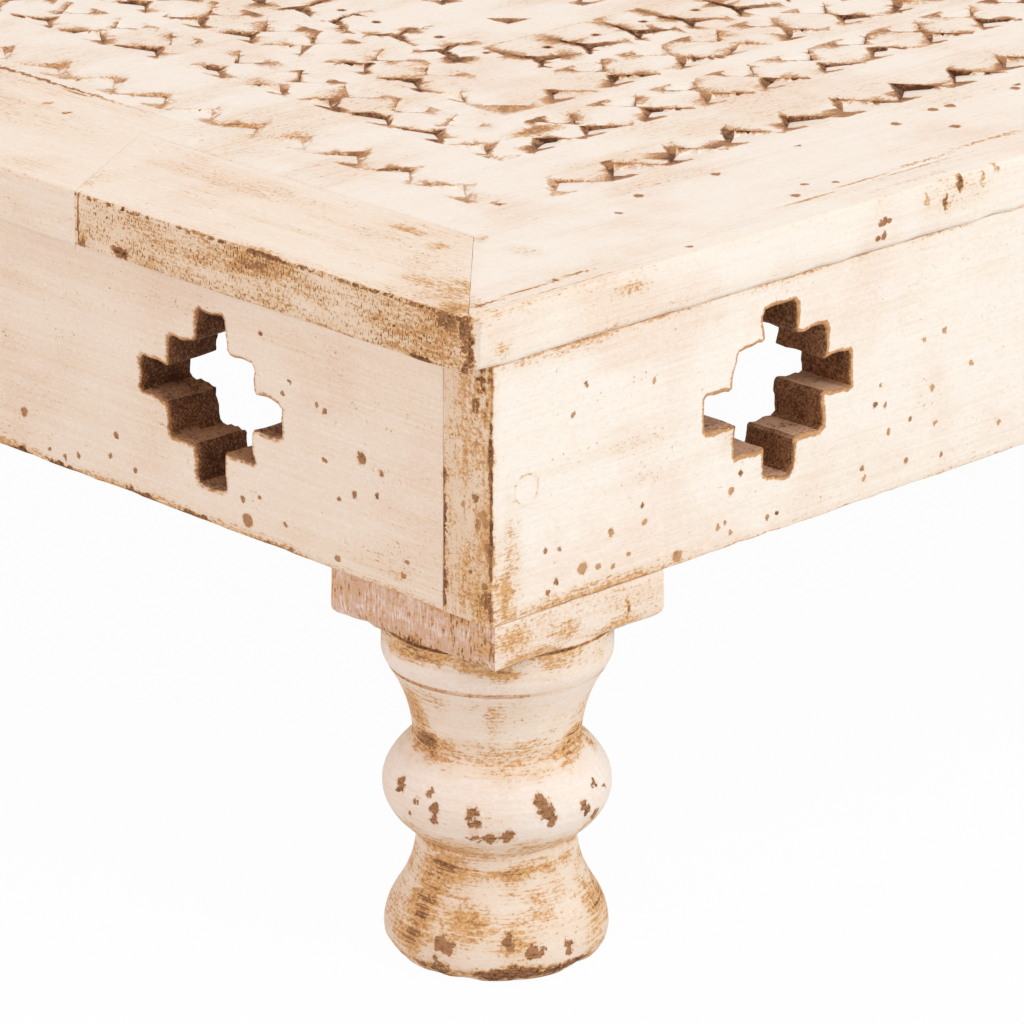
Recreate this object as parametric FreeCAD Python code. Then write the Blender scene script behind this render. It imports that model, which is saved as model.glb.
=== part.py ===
import FreeCAD, Part

import math
import os

from FreeCAD import Placement, Rotation, Vector

# Overall sizes, in millimetres. The origin is on the floor under the middle of the table, with +Z up.
# The long way of the top runs front to back, along Y, and -Y is the front.
box_side = 580.0
leg_drop = 111.8
apron_height = 74.0
apron_thickness = 19.0
top_thickness = 16.0
lip_side = 2.0
lip_end = 11.0

# Top: a mitred frame of rails round three carved boards that run front to back.
# The front rail is spliced out of two pieces, and its left piece is wider.
frame_width = 52.0
wide_rail_width = 68.0
middle_board_width = 202.0
splice_run = 32.0
top_round = 3.0
under_round = 1.0
corner_round = 2.0

# Stepped piercings in the aprons, built from square-cornered cells
cell_width = 11.6
cell_height = 10.0
piercing_steps = 2
end_piercing_inset = 113.0
end_piercing_height = 37.0
side_piercing_inset = 111.0
side_piercing_height = 41.5

# Chip carving. Each band's distance is measured in from the outer faces of the apron box.
chip_depth = 2.0
chip_pitch = 24.6
chip_width = 22.5
chip_floor_share = 0.75
outer_band_start = 61.0
outer_band_height = 15.5
wide_band_start = 95.0
inner_band_start = 130.5
chip_height = 11.3
chip_tip_gap = 1.6
corner_chip_share = 0.7
crowfoot_band_start = 161.0
crowfoot_pitch = 22.0
crowfoot_width = 19.5
crowfoot_length = 27.0
crowfoot_waist_share = 0.14
crowfoot_depth = 1.6
heart_band_start = 203.5
heart_band_pitch = 22.0
rosette_radius = 46.0
rosette_hub = 7.0
petal_width = 11.0
petal_count = 8

# Turned legs: heights are above the floor and radii are from the leg's axis
leg_square = 65.0
plate_height = 13.8
plate_set_back = 1.2
plate_round = 2.5
foot_flat_radius = 28.3
foot_radius = 31.8
foot_widest = 6.5
foot_bulge = 1.0
shoulder_radius = 28.6
shoulder_level = 16.5
shoulder_bulge = 0.7
low_neck_radius = 22.7
bead_foot_level = 35.3
bell_hollow = 1.5
bead_head_radius = 23.6
bead_head_level = 63.4
bead_bulge = 9.1
cove_top_radius = 30.6
cove_top_level = 85.2
cove_hollow = 1.5
groove_radius = 30.0
groove_height = 1.2
collar_foot_radius = 31.2
collar_radius = 32.4
collar_round_height = 4.6
collar_bulge = 0.4

# Wood screws, plugs and dowels
shank_radius = 2.0
head_radius = 3.8
head_height = 2.6
point_height = 4.0
screw_clearance = 0.15
plug_radius = 4.0
plug_depth = 4.0
plug_inset = 12.6
plug_height = 36.5
corner_screw_length = 46.0
leg_screw_bite = 12.0
leg_screw_low = 22.0
leg_screw_high = 50.0
dowel_radius = 3.0
dowel_length = 30.0
dowel_level = 6.0
dowel_clearance = 0.1
dowel_end_room = 1.0
dowel_pitch = 170.0
mitre_dowel_shares = (0.4, 0.75)

# Battens and glue blocks under the top
batten_width = 45.0
batten_depth = 20.0
batten_offset = 118.0
batten_end_gap = 0.2
batten_round = 2.0
batten_screw_bite = 8.0
batten_screw_spread = 34.0
block_leg = 30.0
block_length = 50.0
end_block_offset = 88.0
side_block_offset = 62.0

# Past a face, for every cut
overrun = 2.0

half_box = box_side / 2
apron_top = leg_drop + apron_height
table_top = apron_top + top_thickness
half_width = half_box + lip_side
half_length = half_box + lip_end
inner_face = half_box - apron_thickness
seam = middle_board_width / 2
panel_x = half_width - frame_width
panel_y = half_length - frame_width
wide_rail_y = half_length - wide_rail_width
post_side = leg_square - apron_thickness
leg_axis = half_box - leg_square / 2

UP = Vector(0, 0, 1)
ENDS = {"front": -1, "back": 1}
SIDES = {"left": -1, "right": 1}


def prism(outline, low, high):
    """A closed outline of (x, y) pairs, extruded between two levels."""
    points = [Vector(x, y, low) for x, y in outline]
    face = Part.Face(Part.makePolygon(points + points[:1]))
    return face.extrude(UP * (high - low))


def box(low, high):
    """A box between two opposite corners."""
    size = [b - a for a, b in zip(low, high)]
    return Part.makeBox(*size, Vector(*low))


def turned(outline):
    """Revolve a closed outline of (radius, height) pairs about Z."""
    points = [Vector(radius, 0, height) for radius, height in outline]
    face = Part.Face(Part.makePolygon(points + points[:1]))
    return face.revolve(Vector(), UP, 360)


def set_along(shape, place, direction):
    """Turn a shape built along +Z to point along a direction, and move its origin to a place."""
    shape.Placement = Placement(Vector(*place), Rotation(UP, Vector(*direction)))
    return shape


def chip_tool(outline, deepest, depth):
    """A pyramid whose section at the table's surface is the outline, with its point under it."""
    reach = 1 + overrun / depth
    point = Vector(deepest[0], deepest[1], table_top - depth)
    rim = [point + (Vector(x, y, table_top) - point) * reach for x, y in outline]
    faces = [Part.Face(Part.makePolygon(rim + rim[:1]))]
    for a, b in zip(rim, rim[1:] + rim[:1]):
        faces.append(Part.Face(Part.makePolygon([a, b, point, a])))
    return Part.Solid(Part.Shell(faces))


def to_side(turn, along, distance):
    """A place on one of the four sides: along it from its middle, and in from the apron's face."""
    x, y = along, distance - half_box
    for _ in range(turn):
        x, y = -y, x
    return x, y


def triangle_chip(turn, along, start, height):
    """A three-cornered chip. Its base lies at the start distance and its tip at start plus height."""
    half = chip_width / 2
    outline = [
        to_side(turn, along - half, start),
        to_side(turn, along + half, start),
        to_side(turn, along, start + height),
    ]
    deepest = to_side(turn, along, start + height * chip_floor_share)
    return chip_tool(outline, deepest, chip_depth)


def corner_chip(turn, start, height):
    """A smaller chip on the diagonal, which turns the band at its corner."""
    size = height * corner_chip_share
    corner = half_box - start
    outline = [
        to_side(turn, -corner, start),
        to_side(turn, -corner + size, start),
        to_side(turn, -corner, start + size),
    ]
    third = size / 3
    deepest = to_side(turn, -corner + third, start + third)
    return chip_tool(outline, deepest, chip_depth * corner_chip_share)


def crowfoot_chip(turn, along):
    """A three-legged chip with its long leg towards the middle of the table."""
    half = crowfoot_width / 2
    waist = crowfoot_width * crowfoot_waist_share
    start = crowfoot_band_start
    heart = start + crowfoot_length * crowfoot_waist_share
    outline = [
        to_side(turn, along - half, start),
        to_side(turn, along, start + crowfoot_length * crowfoot_waist_share / 2),
        to_side(turn, along + half, start),
        to_side(turn, along + waist / 2, heart + waist / 2),
        to_side(turn, along, start + crowfoot_length),
        to_side(turn, along - waist / 2, heart + waist / 2),
    ]
    return chip_tool(outline, to_side(turn, along, heart), crowfoot_depth)


def row_places(start, pitch, width):
    """Places along one side of a band, set out evenly from the middle of that side."""
    room = half_box - start - width / 2
    count = int(room / pitch)
    return [k * pitch for k in range(-count, count + 1)]


def carving():
    """Every chip of the top: five square bands inside each other and a rosette in the middle."""
    tools = []
    for turn in range(4):
        for along in row_places(outer_band_start + outer_band_height, chip_pitch, chip_width):
            tools.append(triangle_chip(turn, along, outer_band_start, outer_band_height))
        tools.append(corner_chip(turn, outer_band_start, outer_band_height))
        for start in (wide_band_start, inner_band_start):
            far = start + 2 * chip_height + chip_tip_gap
            for along in row_places(far, chip_pitch, chip_width):
                tools.append(triangle_chip(turn, along, start, chip_height))
                tools.append(triangle_chip(turn, along, far, -chip_height))
            tools.append(corner_chip(turn, start, far - start))
        for along in row_places(crowfoot_band_start, crowfoot_pitch, 2 * crowfoot_width):
            tools.append(crowfoot_chip(turn, along))
        for along in row_places(heart_band_start + outer_band_height, heart_band_pitch, chip_width):
            tools.append(triangle_chip(turn, along, heart_band_start, outer_band_height))
        tools.append(corner_chip(turn, heart_band_start, outer_band_height))
    for index in range(petal_count):
        tools.append(petal(index * 2 * math.pi / petal_count))
    return tools


def petal(angle):
    """One leaf-shaped chip of the rosette."""
    middle = (rosette_hub + rosette_radius) / 2
    outline = []
    for radius, side in (
        (rosette_hub, 0),
        (middle, -petal_width / 2),
        (rosette_radius, 0),
        (middle, petal_width / 2),
    ):
        x = radius * math.cos(angle) - side * math.sin(angle)
        y = radius * math.sin(angle) + side * math.cos(angle)
        outline.append((x, y))
    deepest = (middle * math.cos(angle), middle * math.sin(angle))
    return chip_tool(outline, deepest, crowfoot_depth)


def screw_outline(length, grow):
    """Half the outline of a countersunk screw that points up from its head, grown by a clearance."""
    shank = shank_radius + grow
    tip = length + grow
    return [(head_radius + grow, 0), (shank, head_height), (shank, tip - point_height), (0, tip)]


def screw(place, direction, length):
    """A screw with its head flush at the place, pointing along the direction."""
    return set_along(turned([(0, 0)] + screw_outline(length, 0)), place, direction)


def screw_bore(place, direction, length):
    """The countersunk hole for such a screw, open at its head."""
    mouth = [(0, -overrun), (head_radius + screw_clearance, -overrun)]
    return set_along(turned(mouth + screw_outline(length, screw_clearance)), place, direction)


def rod(place, direction, radius, length):
    """A plain round rod from a place along a direction."""
    return set_along(Part.makeCylinder(radius, length), place, direction)


def corner_screw_places():
    """Head and direction of the screws that run through each side apron into the end aprons."""
    level = leg_drop + plug_height
    for side in SIDES.values():
        for end in ENDS.values():
            face = side * half_box
            across = end * (half_box - plug_inset)
            yield (face, across, level), (-side, 0, 0)


def leg_screw_places():
    """Head and direction of the two screws that run through each leg's post into the aprons."""
    inside = inner_face - post_side
    middle = inner_face - post_side / 2
    for side in SIDES.values():
        for end in ENDS.values():
            yield (side * inside, end * middle, leg_drop + leg_screw_high), (side, 0, 0)
            yield (side * middle, end * inside, leg_drop + leg_screw_low), (0, end, 0)


def batten_screw_places():
    """Head and direction of the screws that run up through the battens into the boards and side rails."""
    level = apron_top - batten_depth
    outer = (seam + panel_x) / 2
    spread = batten_screw_spread
    rail = (panel_x + inner_face) / 2
    row = [outer - spread, outer + spread, rail]
    for end in ENDS.values():
        for x in [-x for x in row] + [-spread, spread] + row:
            yield (x, end * batten_offset, level), (0, 0, 1)


def panel_dowel_places():
    """Middle and direction of the dowels along X, across the boards' seams and into the side rails."""
    for x in (-panel_x, -seam, seam, panel_x):
        for row in (-1, 0, 1):
            yield (x, row * dowel_pitch), (1, 0, 0)


def frame_dowel_places():
    """Middle and direction of the dowels at the boards' ends, in the mitres and in the splice."""
    for row in (-1, 0, 1):
        yield (row * dowel_pitch, panel_y), (0, 1, 0)
    yield (-dowel_pitch, -wide_rail_y), (0, 1, 0)
    yield (0, -wide_rail_y), (0, 1, 0)
    yield (dowel_pitch, -panel_y), (0, 1, 0)
    for side in SIDES.values():
        for end in ENDS.values():
            for share in mitre_dowel_shares:
                inset = frame_width * share
                yield (side * (half_width - inset), end * (half_length - inset)), (side, -end, 0)
    yield (seam + splice_run / 2, -half_length + frame_width / 2), (1, 0, 0)


def dowel(place, direction):
    """A dowel about its middle, across a seam."""
    start = dowel_start(place, direction, dowel_length)
    return rod(start, direction, dowel_radius, dowel_length)


def dowel_start(place, direction, length):
    """Where a rod about a middle begins."""
    unit = Vector(*direction).normalize()
    return Vector(place[0], place[1], apron_top + dowel_level) - unit * (length / 2)


def dowel_bore(place, direction):
    """The hole for one dowel, with room at both ends."""
    length = dowel_length + 2 * dowel_end_room
    start = dowel_start(place, direction, length)
    return rod(start, direction, dowel_radius + dowel_clearance, length)


def near(tools, shape):
    """Only the cutting tools whose boxes meet the shape's box."""
    return [tool for tool in tools if tool.BoundBox.intersect(shape.BoundBox)]


def cut_all(shape, tools):
    """Cut the tools that reach the shape."""
    reaching = near(tools, shape)
    return shape.cut(reaching) if reaching else shape


def flat_edges(shape, level):
    """The edges of a shape that lie at a level."""
    near_level = Part.Precision.confusion()
    return [e for e in shape.Edges if all(abs(v.Point.z - level) < near_level for v in e.Vertexes)]


def rounded_top():
    """The whole top before it is divided into boards, with its worn arrises."""
    slab = box((-half_width, -half_length, apron_top), (half_width, half_length, table_top))
    upright = [e for e in slab.Edges if abs(e.tangentAt(e.FirstParameter).z) > 0]
    slab = slab.makeFillet(corner_round, upright)
    slab = slab.makeFillet(top_round, flat_edges(slab, table_top))
    return slab.makeFillet(under_round, flat_edges(slab, apron_top))


def panel_outlines():
    """The three carved boards, seen from above."""
    return {
        "panel_board_left": box_outline(-panel_x, -wide_rail_y, -seam, panel_y),
        "panel_board_middle": box_outline(-seam, -wide_rail_y, seam, panel_y),
        "panel_board_right": box_outline(seam, -panel_y, panel_x, panel_y),
    }


def box_outline(left, front, right, back):
    """The corners of an oblong, seen from above."""
    return [(left, front), (right, front), (right, back), (left, back)]


def frame_outlines():
    """The five pieces of the mitred frame, seen from above. They run past the top's edges."""
    far_x = half_width + overrun
    far_y = half_length + overrun
    foot = seam + splice_run * (frame_width + overrun) / frame_width
    side = [(panel_x, -panel_y), (far_x, -far_y), (far_x, far_y), (panel_x, panel_y)]
    front_left = [
        (-panel_x, -wide_rail_y),
        (-panel_x, -panel_y),
        (-far_x, -far_y),
        (foot, -far_y),
        (seam, -panel_y),
        (seam, -wide_rail_y),
    ]
    return {
        "frame_rail_left": [(-x, y) for x, y in side],
        "frame_rail_right": side,
        "frame_rail_back": [(-panel_x, panel_y), (-far_x, far_y), (far_x, far_y), (panel_x, panel_y)],
        "frame_rail_front_left": front_left,
        "frame_rail_front_right": [(seam, -panel_y), (foot, -far_y), (far_x, -far_y), (panel_x, -panel_y)],
    }


def top_pieces():
    """The carved boards and the frame round them, cut out of the whole top and bored."""
    slab = rounded_top()
    length = batten_depth + batten_screw_bite
    bores = [dowel_bore(*place) for place in panel_dowel_places()]
    bores += [dowel_bore(*place) for place in frame_dowel_places()]
    bores += [screw_bore(*place, length) for place in batten_screw_places()]
    chips = carving()
    pieces = {}
    for outlines, tools in ((panel_outlines(), bores + chips), (frame_outlines(), bores)):
        for name, outline in outlines.items():
            blank = slab.common(prism(outline, apron_top - overrun, table_top + overrun))
            pieces[name] = cut_all(blank, tools)
    return pieces


def piercing_outline(middle, level):
    """A stepped diamond of cells about a middle: (along, height) pairs."""
    right = []
    for row in range(-piercing_steps, piercing_steps + 1):
        half = (piercing_steps - abs(row)) * cell_width + cell_width / 2
        low = row * cell_height - cell_height / 2
        right += [(half, low), (half, low + cell_height)]
    left = [(-along, height) for along, height in reversed(right)]
    return [(middle + along, level + height) for along, height in right + left]


def pierced_apron(length, inset, level):
    """An apron board on its edge, its outer face at y = -half_box, with three piercings."""
    half = length / 2
    board = box((-half, -half_box, leg_drop), (half, -inner_face, apron_top))
    for middle in (inset - half_box, 0, half_box - inset):
        outline = piercing_outline(middle, leg_drop + level)
        points = [Vector(x, -half_box - overrun, z) for x, z in outline]
        face = Part.Face(Part.makePolygon(points + points[:1]))
        board = board.cut(face.extrude(Vector(0, apron_thickness + 2 * overrun, 0)))
    return board


def apron_pieces():
    """The four aprons. The side ones run through, and the end ones fit between them."""
    tools = [screw_bore(*place) for place in corner_screws()]
    tools += [screw_bore(*place, post_side + leg_screw_bite) for place in leg_screw_places()]
    for place, direction in corner_screw_places():
        start = Vector(*place) - Vector(*direction) * overrun
        tools.append(rod(start, direction, plug_radius, plug_depth + overrun))
    blanks = {}
    for name, turn in (("front", 0), ("right", 90), ("back", 180), ("left", 270)):
        if name in ENDS:
            blank = pierced_apron(2 * inner_face, end_piercing_inset, end_piercing_height)
        else:
            blank = pierced_apron(box_side, side_piercing_inset, side_piercing_height)
        blank.rotate(Vector(), UP, turn)
        blanks["apron_" + name] = cut_all(blank, tools)
    return blanks


def corner_screws():
    """The corner screws' places, with their heads sunk under the plugs."""
    for place, direction in corner_screw_places():
        sunk = Vector(*place) + Vector(*direction) * plug_depth
        yield tuple(sunk), direction, corner_screw_length


def bowed(start, end, bulge):
    """An arc between two (radius, height) points. A positive bulge swells away from the axis."""
    a = Vector(start[0], 0, start[1])
    b = Vector(end[0], 0, end[1])
    along = (b - a).normalize()
    outward = Vector(along.z, 0, -along.x)
    return Part.Arc(a, (a + b) / 2 + outward * bulge, b).toShape()


def straight(start, end):
    """A straight stretch between two (radius, height) points."""
    return Part.makeLine(Vector(start[0], 0, start[1]), Vector(end[0], 0, end[1]))


def turning():
    """The turned length of a leg, from the floor up to its square plate."""
    plate_foot = leg_drop - plate_height
    foot_flat = (foot_flat_radius, 0)
    foot = (foot_radius, foot_widest)
    shoulder = (shoulder_radius, shoulder_level)
    low_neck = (low_neck_radius, bead_foot_level)
    bead_head = (bead_head_radius, bead_head_level)
    cove_top = (cove_top_radius, cove_top_level)
    groove = (groove_radius, cove_top_level)
    groove_top = (groove_radius, cove_top_level + groove_height)
    collar_foot = (collar_foot_radius, groove_top[1])
    collar = (collar_radius, groove_top[1] + collar_round_height)
    collar_top = (collar_radius, plate_foot + overrun)
    edges = [
        straight((0, 0), foot_flat),
        bowed(foot_flat, foot, foot_bulge),
        bowed(foot, shoulder, shoulder_bulge),
        bowed(shoulder, low_neck, -bell_hollow),
        bowed(low_neck, bead_head, bead_bulge),
        bowed(bead_head, cove_top, -cove_hollow),
        straight(cove_top, groove),
        straight(groove, groove_top),
        straight(groove_top, collar_foot),
        bowed(collar_foot, collar, collar_bulge),
        straight(collar, collar_top),
        straight(collar_top, (0, collar_top[1])),
        straight((0, collar_top[1]), (0, 0)),
    ]
    return Part.Face(Part.Wire(edges)).revolve(Vector(), UP, 360)


def leg():
    """One leg standing on the origin: turned foot, square plate, and a post set back by the aprons.

    The foot and plate stand a little inside the end apron's face, as they do in the table itself.
    """
    half = leg_square / 2
    plate = box((-half, -half, leg_drop - plate_height), (half, half, leg_drop))
    plate = plate.makeFillet(plate_round, flat_edges(plate, leg_drop - plate_height))
    foot = turning().fuse(plate)
    foot.translate(Vector(0, -plate_set_back, 0))
    post = box((-half, -half, leg_drop), (half - apron_thickness, half - apron_thickness, apron_top))
    return foot.fuse(post).removeSplitter()


def leg_pieces():
    """The four legs, with their posts inside the box, bored for the screws into the aprons."""
    tools = [screw_bore(*place, post_side + leg_screw_bite) for place in leg_screw_places()]
    pieces = {}
    for side_name, side in SIDES.items():
        for end_name, end in ENDS.items():
            piece = leg()
            if side < 0:
                piece = piece.mirror(Vector(), Vector(1, 0, 0))
            if end < 0:
                piece = piece.mirror(Vector(), Vector(0, 1, 0))
            piece.translate(Vector(side * leg_axis, end * leg_axis, 0))
            pieces["leg_" + end_name + "_" + side_name] = cut_all(piece, tools)
    return pieces


def batten_pieces():
    """Two battens that hold the three boards flat, screwed up into them."""
    length = batten_depth + batten_screw_bite
    tools = [screw_bore(*place, length) for place in batten_screw_places()]
    half = inner_face - batten_end_gap
    pieces = {}
    for name, end in ENDS.items():
        middle = end * batten_offset
        low = (-half, middle - batten_width / 2, apron_top - batten_depth)
        high = (half, middle + batten_width / 2, apron_top)
        bar = box(low, high)
        long_edges = [e for e in flat_edges(bar, low[2]) if e.Length > batten_width]
        pieces["batten_" + name] = cut_all(bar.makeFillet(batten_round, long_edges), tools)
    return pieces


def glue_block(along):
    """A three-sided block in the corner between the front apron and the top."""
    face_y = -inner_face
    points = [
        Vector(along - block_length / 2, face_y, apron_top),
        Vector(along - block_length / 2, face_y + block_leg, apron_top),
        Vector(along - block_length / 2, face_y, apron_top - block_leg),
    ]
    face = Part.Face(Part.makePolygon(points + points[:1]))
    return face.extrude(Vector(block_length, 0, 0))


def glue_block_pieces():
    """Two glue blocks on the inside of each apron, between its piercings."""
    pieces = {}
    for name, turn in (("front", 0), ("right", 90), ("back", 180), ("left", 270)):
        offset = end_block_offset if name in ENDS else side_block_offset
        for number, along in ((1, -offset), (2, offset)):
            block = glue_block(along)
            block.rotate(Vector(), UP, turn)
            pieces["glue_block_%s_%d" % (name, number)] = block
    return pieces


def fastener_pieces():
    """Screws, plugs and dowels. Each kind shares one node."""
    plugs = [rod(place, direction, plug_radius, plug_depth) for place, direction in corner_screw_places()]
    leg_length = post_side + leg_screw_bite
    batten_length = batten_depth + batten_screw_bite
    groups = {
        "corner_screws": [screw(*place) for place in corner_screws()],
        "screw_plugs": plugs,
        "leg_screws": [screw(*place, leg_length) for place in leg_screw_places()],
        "batten_screws": [screw(*place, batten_length) for place in batten_screw_places()],
        "panel_dowels": [dowel(*place) for place in panel_dowel_places()],
        "frame_dowels": [dowel(*place) for place in frame_dowel_places()],
    }
    return {name: Part.makeCompound(solids) for name, solids in groups.items()}


def main():
    """Build every node and write it to its own file."""
    os.makedirs("parts", exist_ok=True)
    nodes = {}
    for make in (top_pieces, apron_pieces, leg_pieces, batten_pieces, glue_block_pieces, fastener_pieces):
        nodes.update(make())
    for name, shape in nodes.items():
        shape.exportStep("parts/" + name + ".step")
        print(name, len(shape.Solids), "solids", len(shape.Faces), "faces, valid", shape.isValid())


main()
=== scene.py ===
# %% [markdown]
# # A carved and painted low table
#
# The table is a square hardwood top on four pierced boards and four turned legs.
# It was carved by hand, painted cream, and rubbed through to the brown wood along its edges.
# The construction comes ready-made: this lesson dresses it. Each board that shows is built again with
# worn arrises and cut chips, and every surface gets a paint or wood made out of nodes.

# %% Load the construction
import math
import random

import bmesh
import bpy
import numpy as np
from mathutils import Matrix, Vector, kdtree, noise
from mathutils.geometry import delaunay_2d_cdt


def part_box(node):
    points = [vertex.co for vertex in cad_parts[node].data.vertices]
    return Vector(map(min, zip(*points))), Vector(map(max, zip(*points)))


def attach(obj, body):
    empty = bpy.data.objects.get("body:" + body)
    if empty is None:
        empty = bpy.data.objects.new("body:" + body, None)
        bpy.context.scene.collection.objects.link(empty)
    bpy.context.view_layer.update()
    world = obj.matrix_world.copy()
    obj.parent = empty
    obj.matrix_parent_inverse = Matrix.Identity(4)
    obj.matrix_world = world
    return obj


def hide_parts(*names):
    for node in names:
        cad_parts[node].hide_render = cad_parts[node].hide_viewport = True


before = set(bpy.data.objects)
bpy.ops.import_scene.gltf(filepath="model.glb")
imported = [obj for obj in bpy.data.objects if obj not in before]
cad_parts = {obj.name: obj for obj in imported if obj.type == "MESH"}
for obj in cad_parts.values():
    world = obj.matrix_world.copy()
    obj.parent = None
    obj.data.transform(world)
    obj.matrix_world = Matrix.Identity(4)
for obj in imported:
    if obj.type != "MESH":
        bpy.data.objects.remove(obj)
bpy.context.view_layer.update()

MM = 0.001

# %% [markdown]
# ## What the construction tells us
#
# Sizes are read off the construction's own pieces wherever they can be, so that the dressed boards sit
# exactly where the plain ones were. Only what the construction doesn't state is written here.

# %% Levels and faces
top_low, top_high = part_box("frame_rail_right")
apron_low, apron_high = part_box("apron_right")
panel_low, panel_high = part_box("panel_board_right")
TABLE_TOP = top_high.z
TOP_FOOT = top_low.z
HALF_WIDTH = top_high.x
HALF_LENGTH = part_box("frame_rail_back")[1].y
HALF_BOX = apron_high.x
APRON_FOOT = apron_low.z
APRON_THICKNESS = apron_high.x - apron_low.x
PANEL_X = panel_high.x
PANEL_Y = panel_high.y
SEAM_X = panel_low.x
WIDE_RAIL_Y = -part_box("panel_board_left")[0].y
SPLICE_FOOT_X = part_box("frame_rail_front_left")[1].x
MARK_FLOOR = TABLE_TOP - 200 * MM
print("top", TABLE_TOP / MM, "box", HALF_BOX / MM, "seam", SEAM_X / MM, "wide rail", WIDE_RAIL_Y / MM)

# %% [markdown]
# ## Small helpers for geometry
#
# Hand work is never quite even. One smooth noise, read at a place, gives every wobble in the lesson, so
# the same place always wobbles the same way and the file gives the same table each time.

# %% Smooth noise
def wander(place, size, seed=0.0):
    """A smooth value between about -1 and 1, with features of a size in metres."""
    u, v, w = (tuple(place) + (0.0, 0.0))[:3]
    return noise.noise(Vector((u / size + seed, v / size - 1.7 * seed, w / size + 0.3 * seed)))


def lerp(a, b, share):
    """A value or place part of the way from a to b."""
    return a + (b - a) * share


def in_scene(name, data):
    """A new object in the scene, made from its mesh, lamp or camera."""
    made = bpy.data.objects.new(name, data)
    bpy.context.scene.collection.objects.link(made)
    return made


# %% [markdown]
# ## A board with worn arrises
#
# A board is an outline given a thickness, with a rounded edge, or arris, at both faces. Bevelling a box
# would do for new timber. These boards are worn unevenly and one face is carved, so the mesh is made by
# hand: rings of points go round each edge, from one face over the arris, down the wall and over the other
# arris. Then a triangulation fills each face between its rings and any carving.

# %% Points round an outline
def along_outline(corners, step):
    """Points round a closed outline of (u, v, arris) corners, each with its inset and arris radius."""
    places = []
    count = len(corners)
    for index in range(count):
        here = Vector(corners[index][:2])
        there = Vector(corners[(index + 1) % count][:2])
        before = Vector(corners[index - 1][:2])
        radius = corners[index][2]
        edge = (there - here).normalized()
        outward = Vector((edge.y, -edge.x))
        edge_before = (here - before).normalized()
        outward_before = Vector((edge_before.y, -edge_before.x))
        places.append((here, corner_inset(outward_before, corners[index - 1][2], outward, radius), radius))
        pieces = max(1, round((there - here).length / step))
        for piece in range(1, pieces):
            places.append((here.lerp(there, piece / pieces), -outward * radius, radius))
    return places


def corner_inset(normal_a, radius_a, normal_b, radius_b):
    """The move that brings a corner in from both of its edges by each one's own arris radius."""
    cross = normal_a.x * normal_b.y - normal_a.y * normal_b.x
    if abs(cross) < 0.05:
        return -(normal_a * radius_a + normal_b * radius_b) / 2
    x = (-radius_a * normal_b.y + radius_b * normal_a.y) / cross
    y = (-radius_b * normal_a.x + radius_a * normal_b.x) / cross
    return Vector((x, y))


# %% The board itself
WEAR = "wear"
CUT = "cut"
SAME_PLACE = 1e-7
# Depth, wear and cut of a point that only arises where two creases cross
CROSSED_CREASES = (0.0, 0.3, 0.5)


class Board:
    """A mesh in the making: points with their wear and cut values, and faces."""

    def __init__(self, to_world):
        self.to_world = to_world
        self.points = []
        self.wear = []
        self.cut = []
        self.faces = []

    def point(self, u, v, w, wear=0.0, cut=0.0):
        """Add one point and give its number."""
        self.points.append(self.to_world(u, v, w))
        self.wear.append(wear)
        self.cut.append(cut)
        return len(self.points) - 1

    def fill(self, loops, dots, edges, height, upward):
        """Triangulate a face between loops of ready points, through dots and creases."""
        flat = [place for loop in loops for place, _ in loop]
        numbers = [number for loop in loops for _, number in loop]
        bounds = []
        start = 0
        for loop in loops:
            bounds += [(start + i, start + (i + 1) % len(loop)) for i in range(len(loop))]
            start += len(loop)
        creases = [(a + start, b + start) for a, b in edges]
        found = delaunay_2d_cdt(flat + [dot[0] for dot in dots], bounds + creases, [], 0, SAME_PLACE, True)
        places, triangles, sources = found[0], found[2], found[3]
        made = []
        for place, source in zip(places, sources):
            ready = [numbers[i] for i in source if i < start]
            if ready:
                made.append(ready[0])
                continue
            depth, wear, cut = dots[source[0] - start][1:] if source else CROSSED_CREASES
            made.append(self.point(*place, height(place) - depth, wear, cut))
        centres = [sum((places[i] for i in triangle), Vector((0, 0))) / 3 for triangle in triangles]
        inside = np.zeros(len(triangles), bool)
        for loop in loops:
            inside ^= within(np.array(centres), [place for place, _ in loop])
        for triangle, keep in zip(triangles, inside):
            if keep:
                corners = [made[i] for i in triangle]
                self.faces.append(corners if upward else corners[::-1])

    def finish(self, name):
        """Turn the points and faces into an object."""
        mesh = bpy.data.meshes.new(name)
        mesh.from_pydata(self.points, [], self.faces)
        for label, values in ((WEAR, self.wear), (CUT, self.cut)):
            mesh.attributes.new(label, "FLOAT", "POINT").data.foreach_set("value", values)
        return in_scene(name, mesh)


def within(places, loop):
    """Which places lie inside a closed loop, by counting how often a ray to the right crosses it."""
    inside = np.zeros(len(places), bool)
    if not len(places):
        return inside
    x, y = places[:, 0], places[:, 1]
    for a, b in zip(loop, loop[1:] + loop[:1]):
        if a[1] != b[1]:
            crosses = (a[1] > y) != (b[1] > y)
            inside ^= crosses & (x < a[0] + (y - a[1]) * (b[0] - a[0]) / (b[1] - a[1]))
    return inside


# %% Edges and walls of a board
ARRIS_TURNS = (0.0, 0.33, 0.67, 1.0)
WALL_STEP = 4 * MM
HOLE_SWAY = 1.0 * MM
JOINT_WEAR_RADIUS = 0.5 * MM
HOLE_CUT_FACE, HOLE_CUT_WALL = 0.4, 0.85


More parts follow.
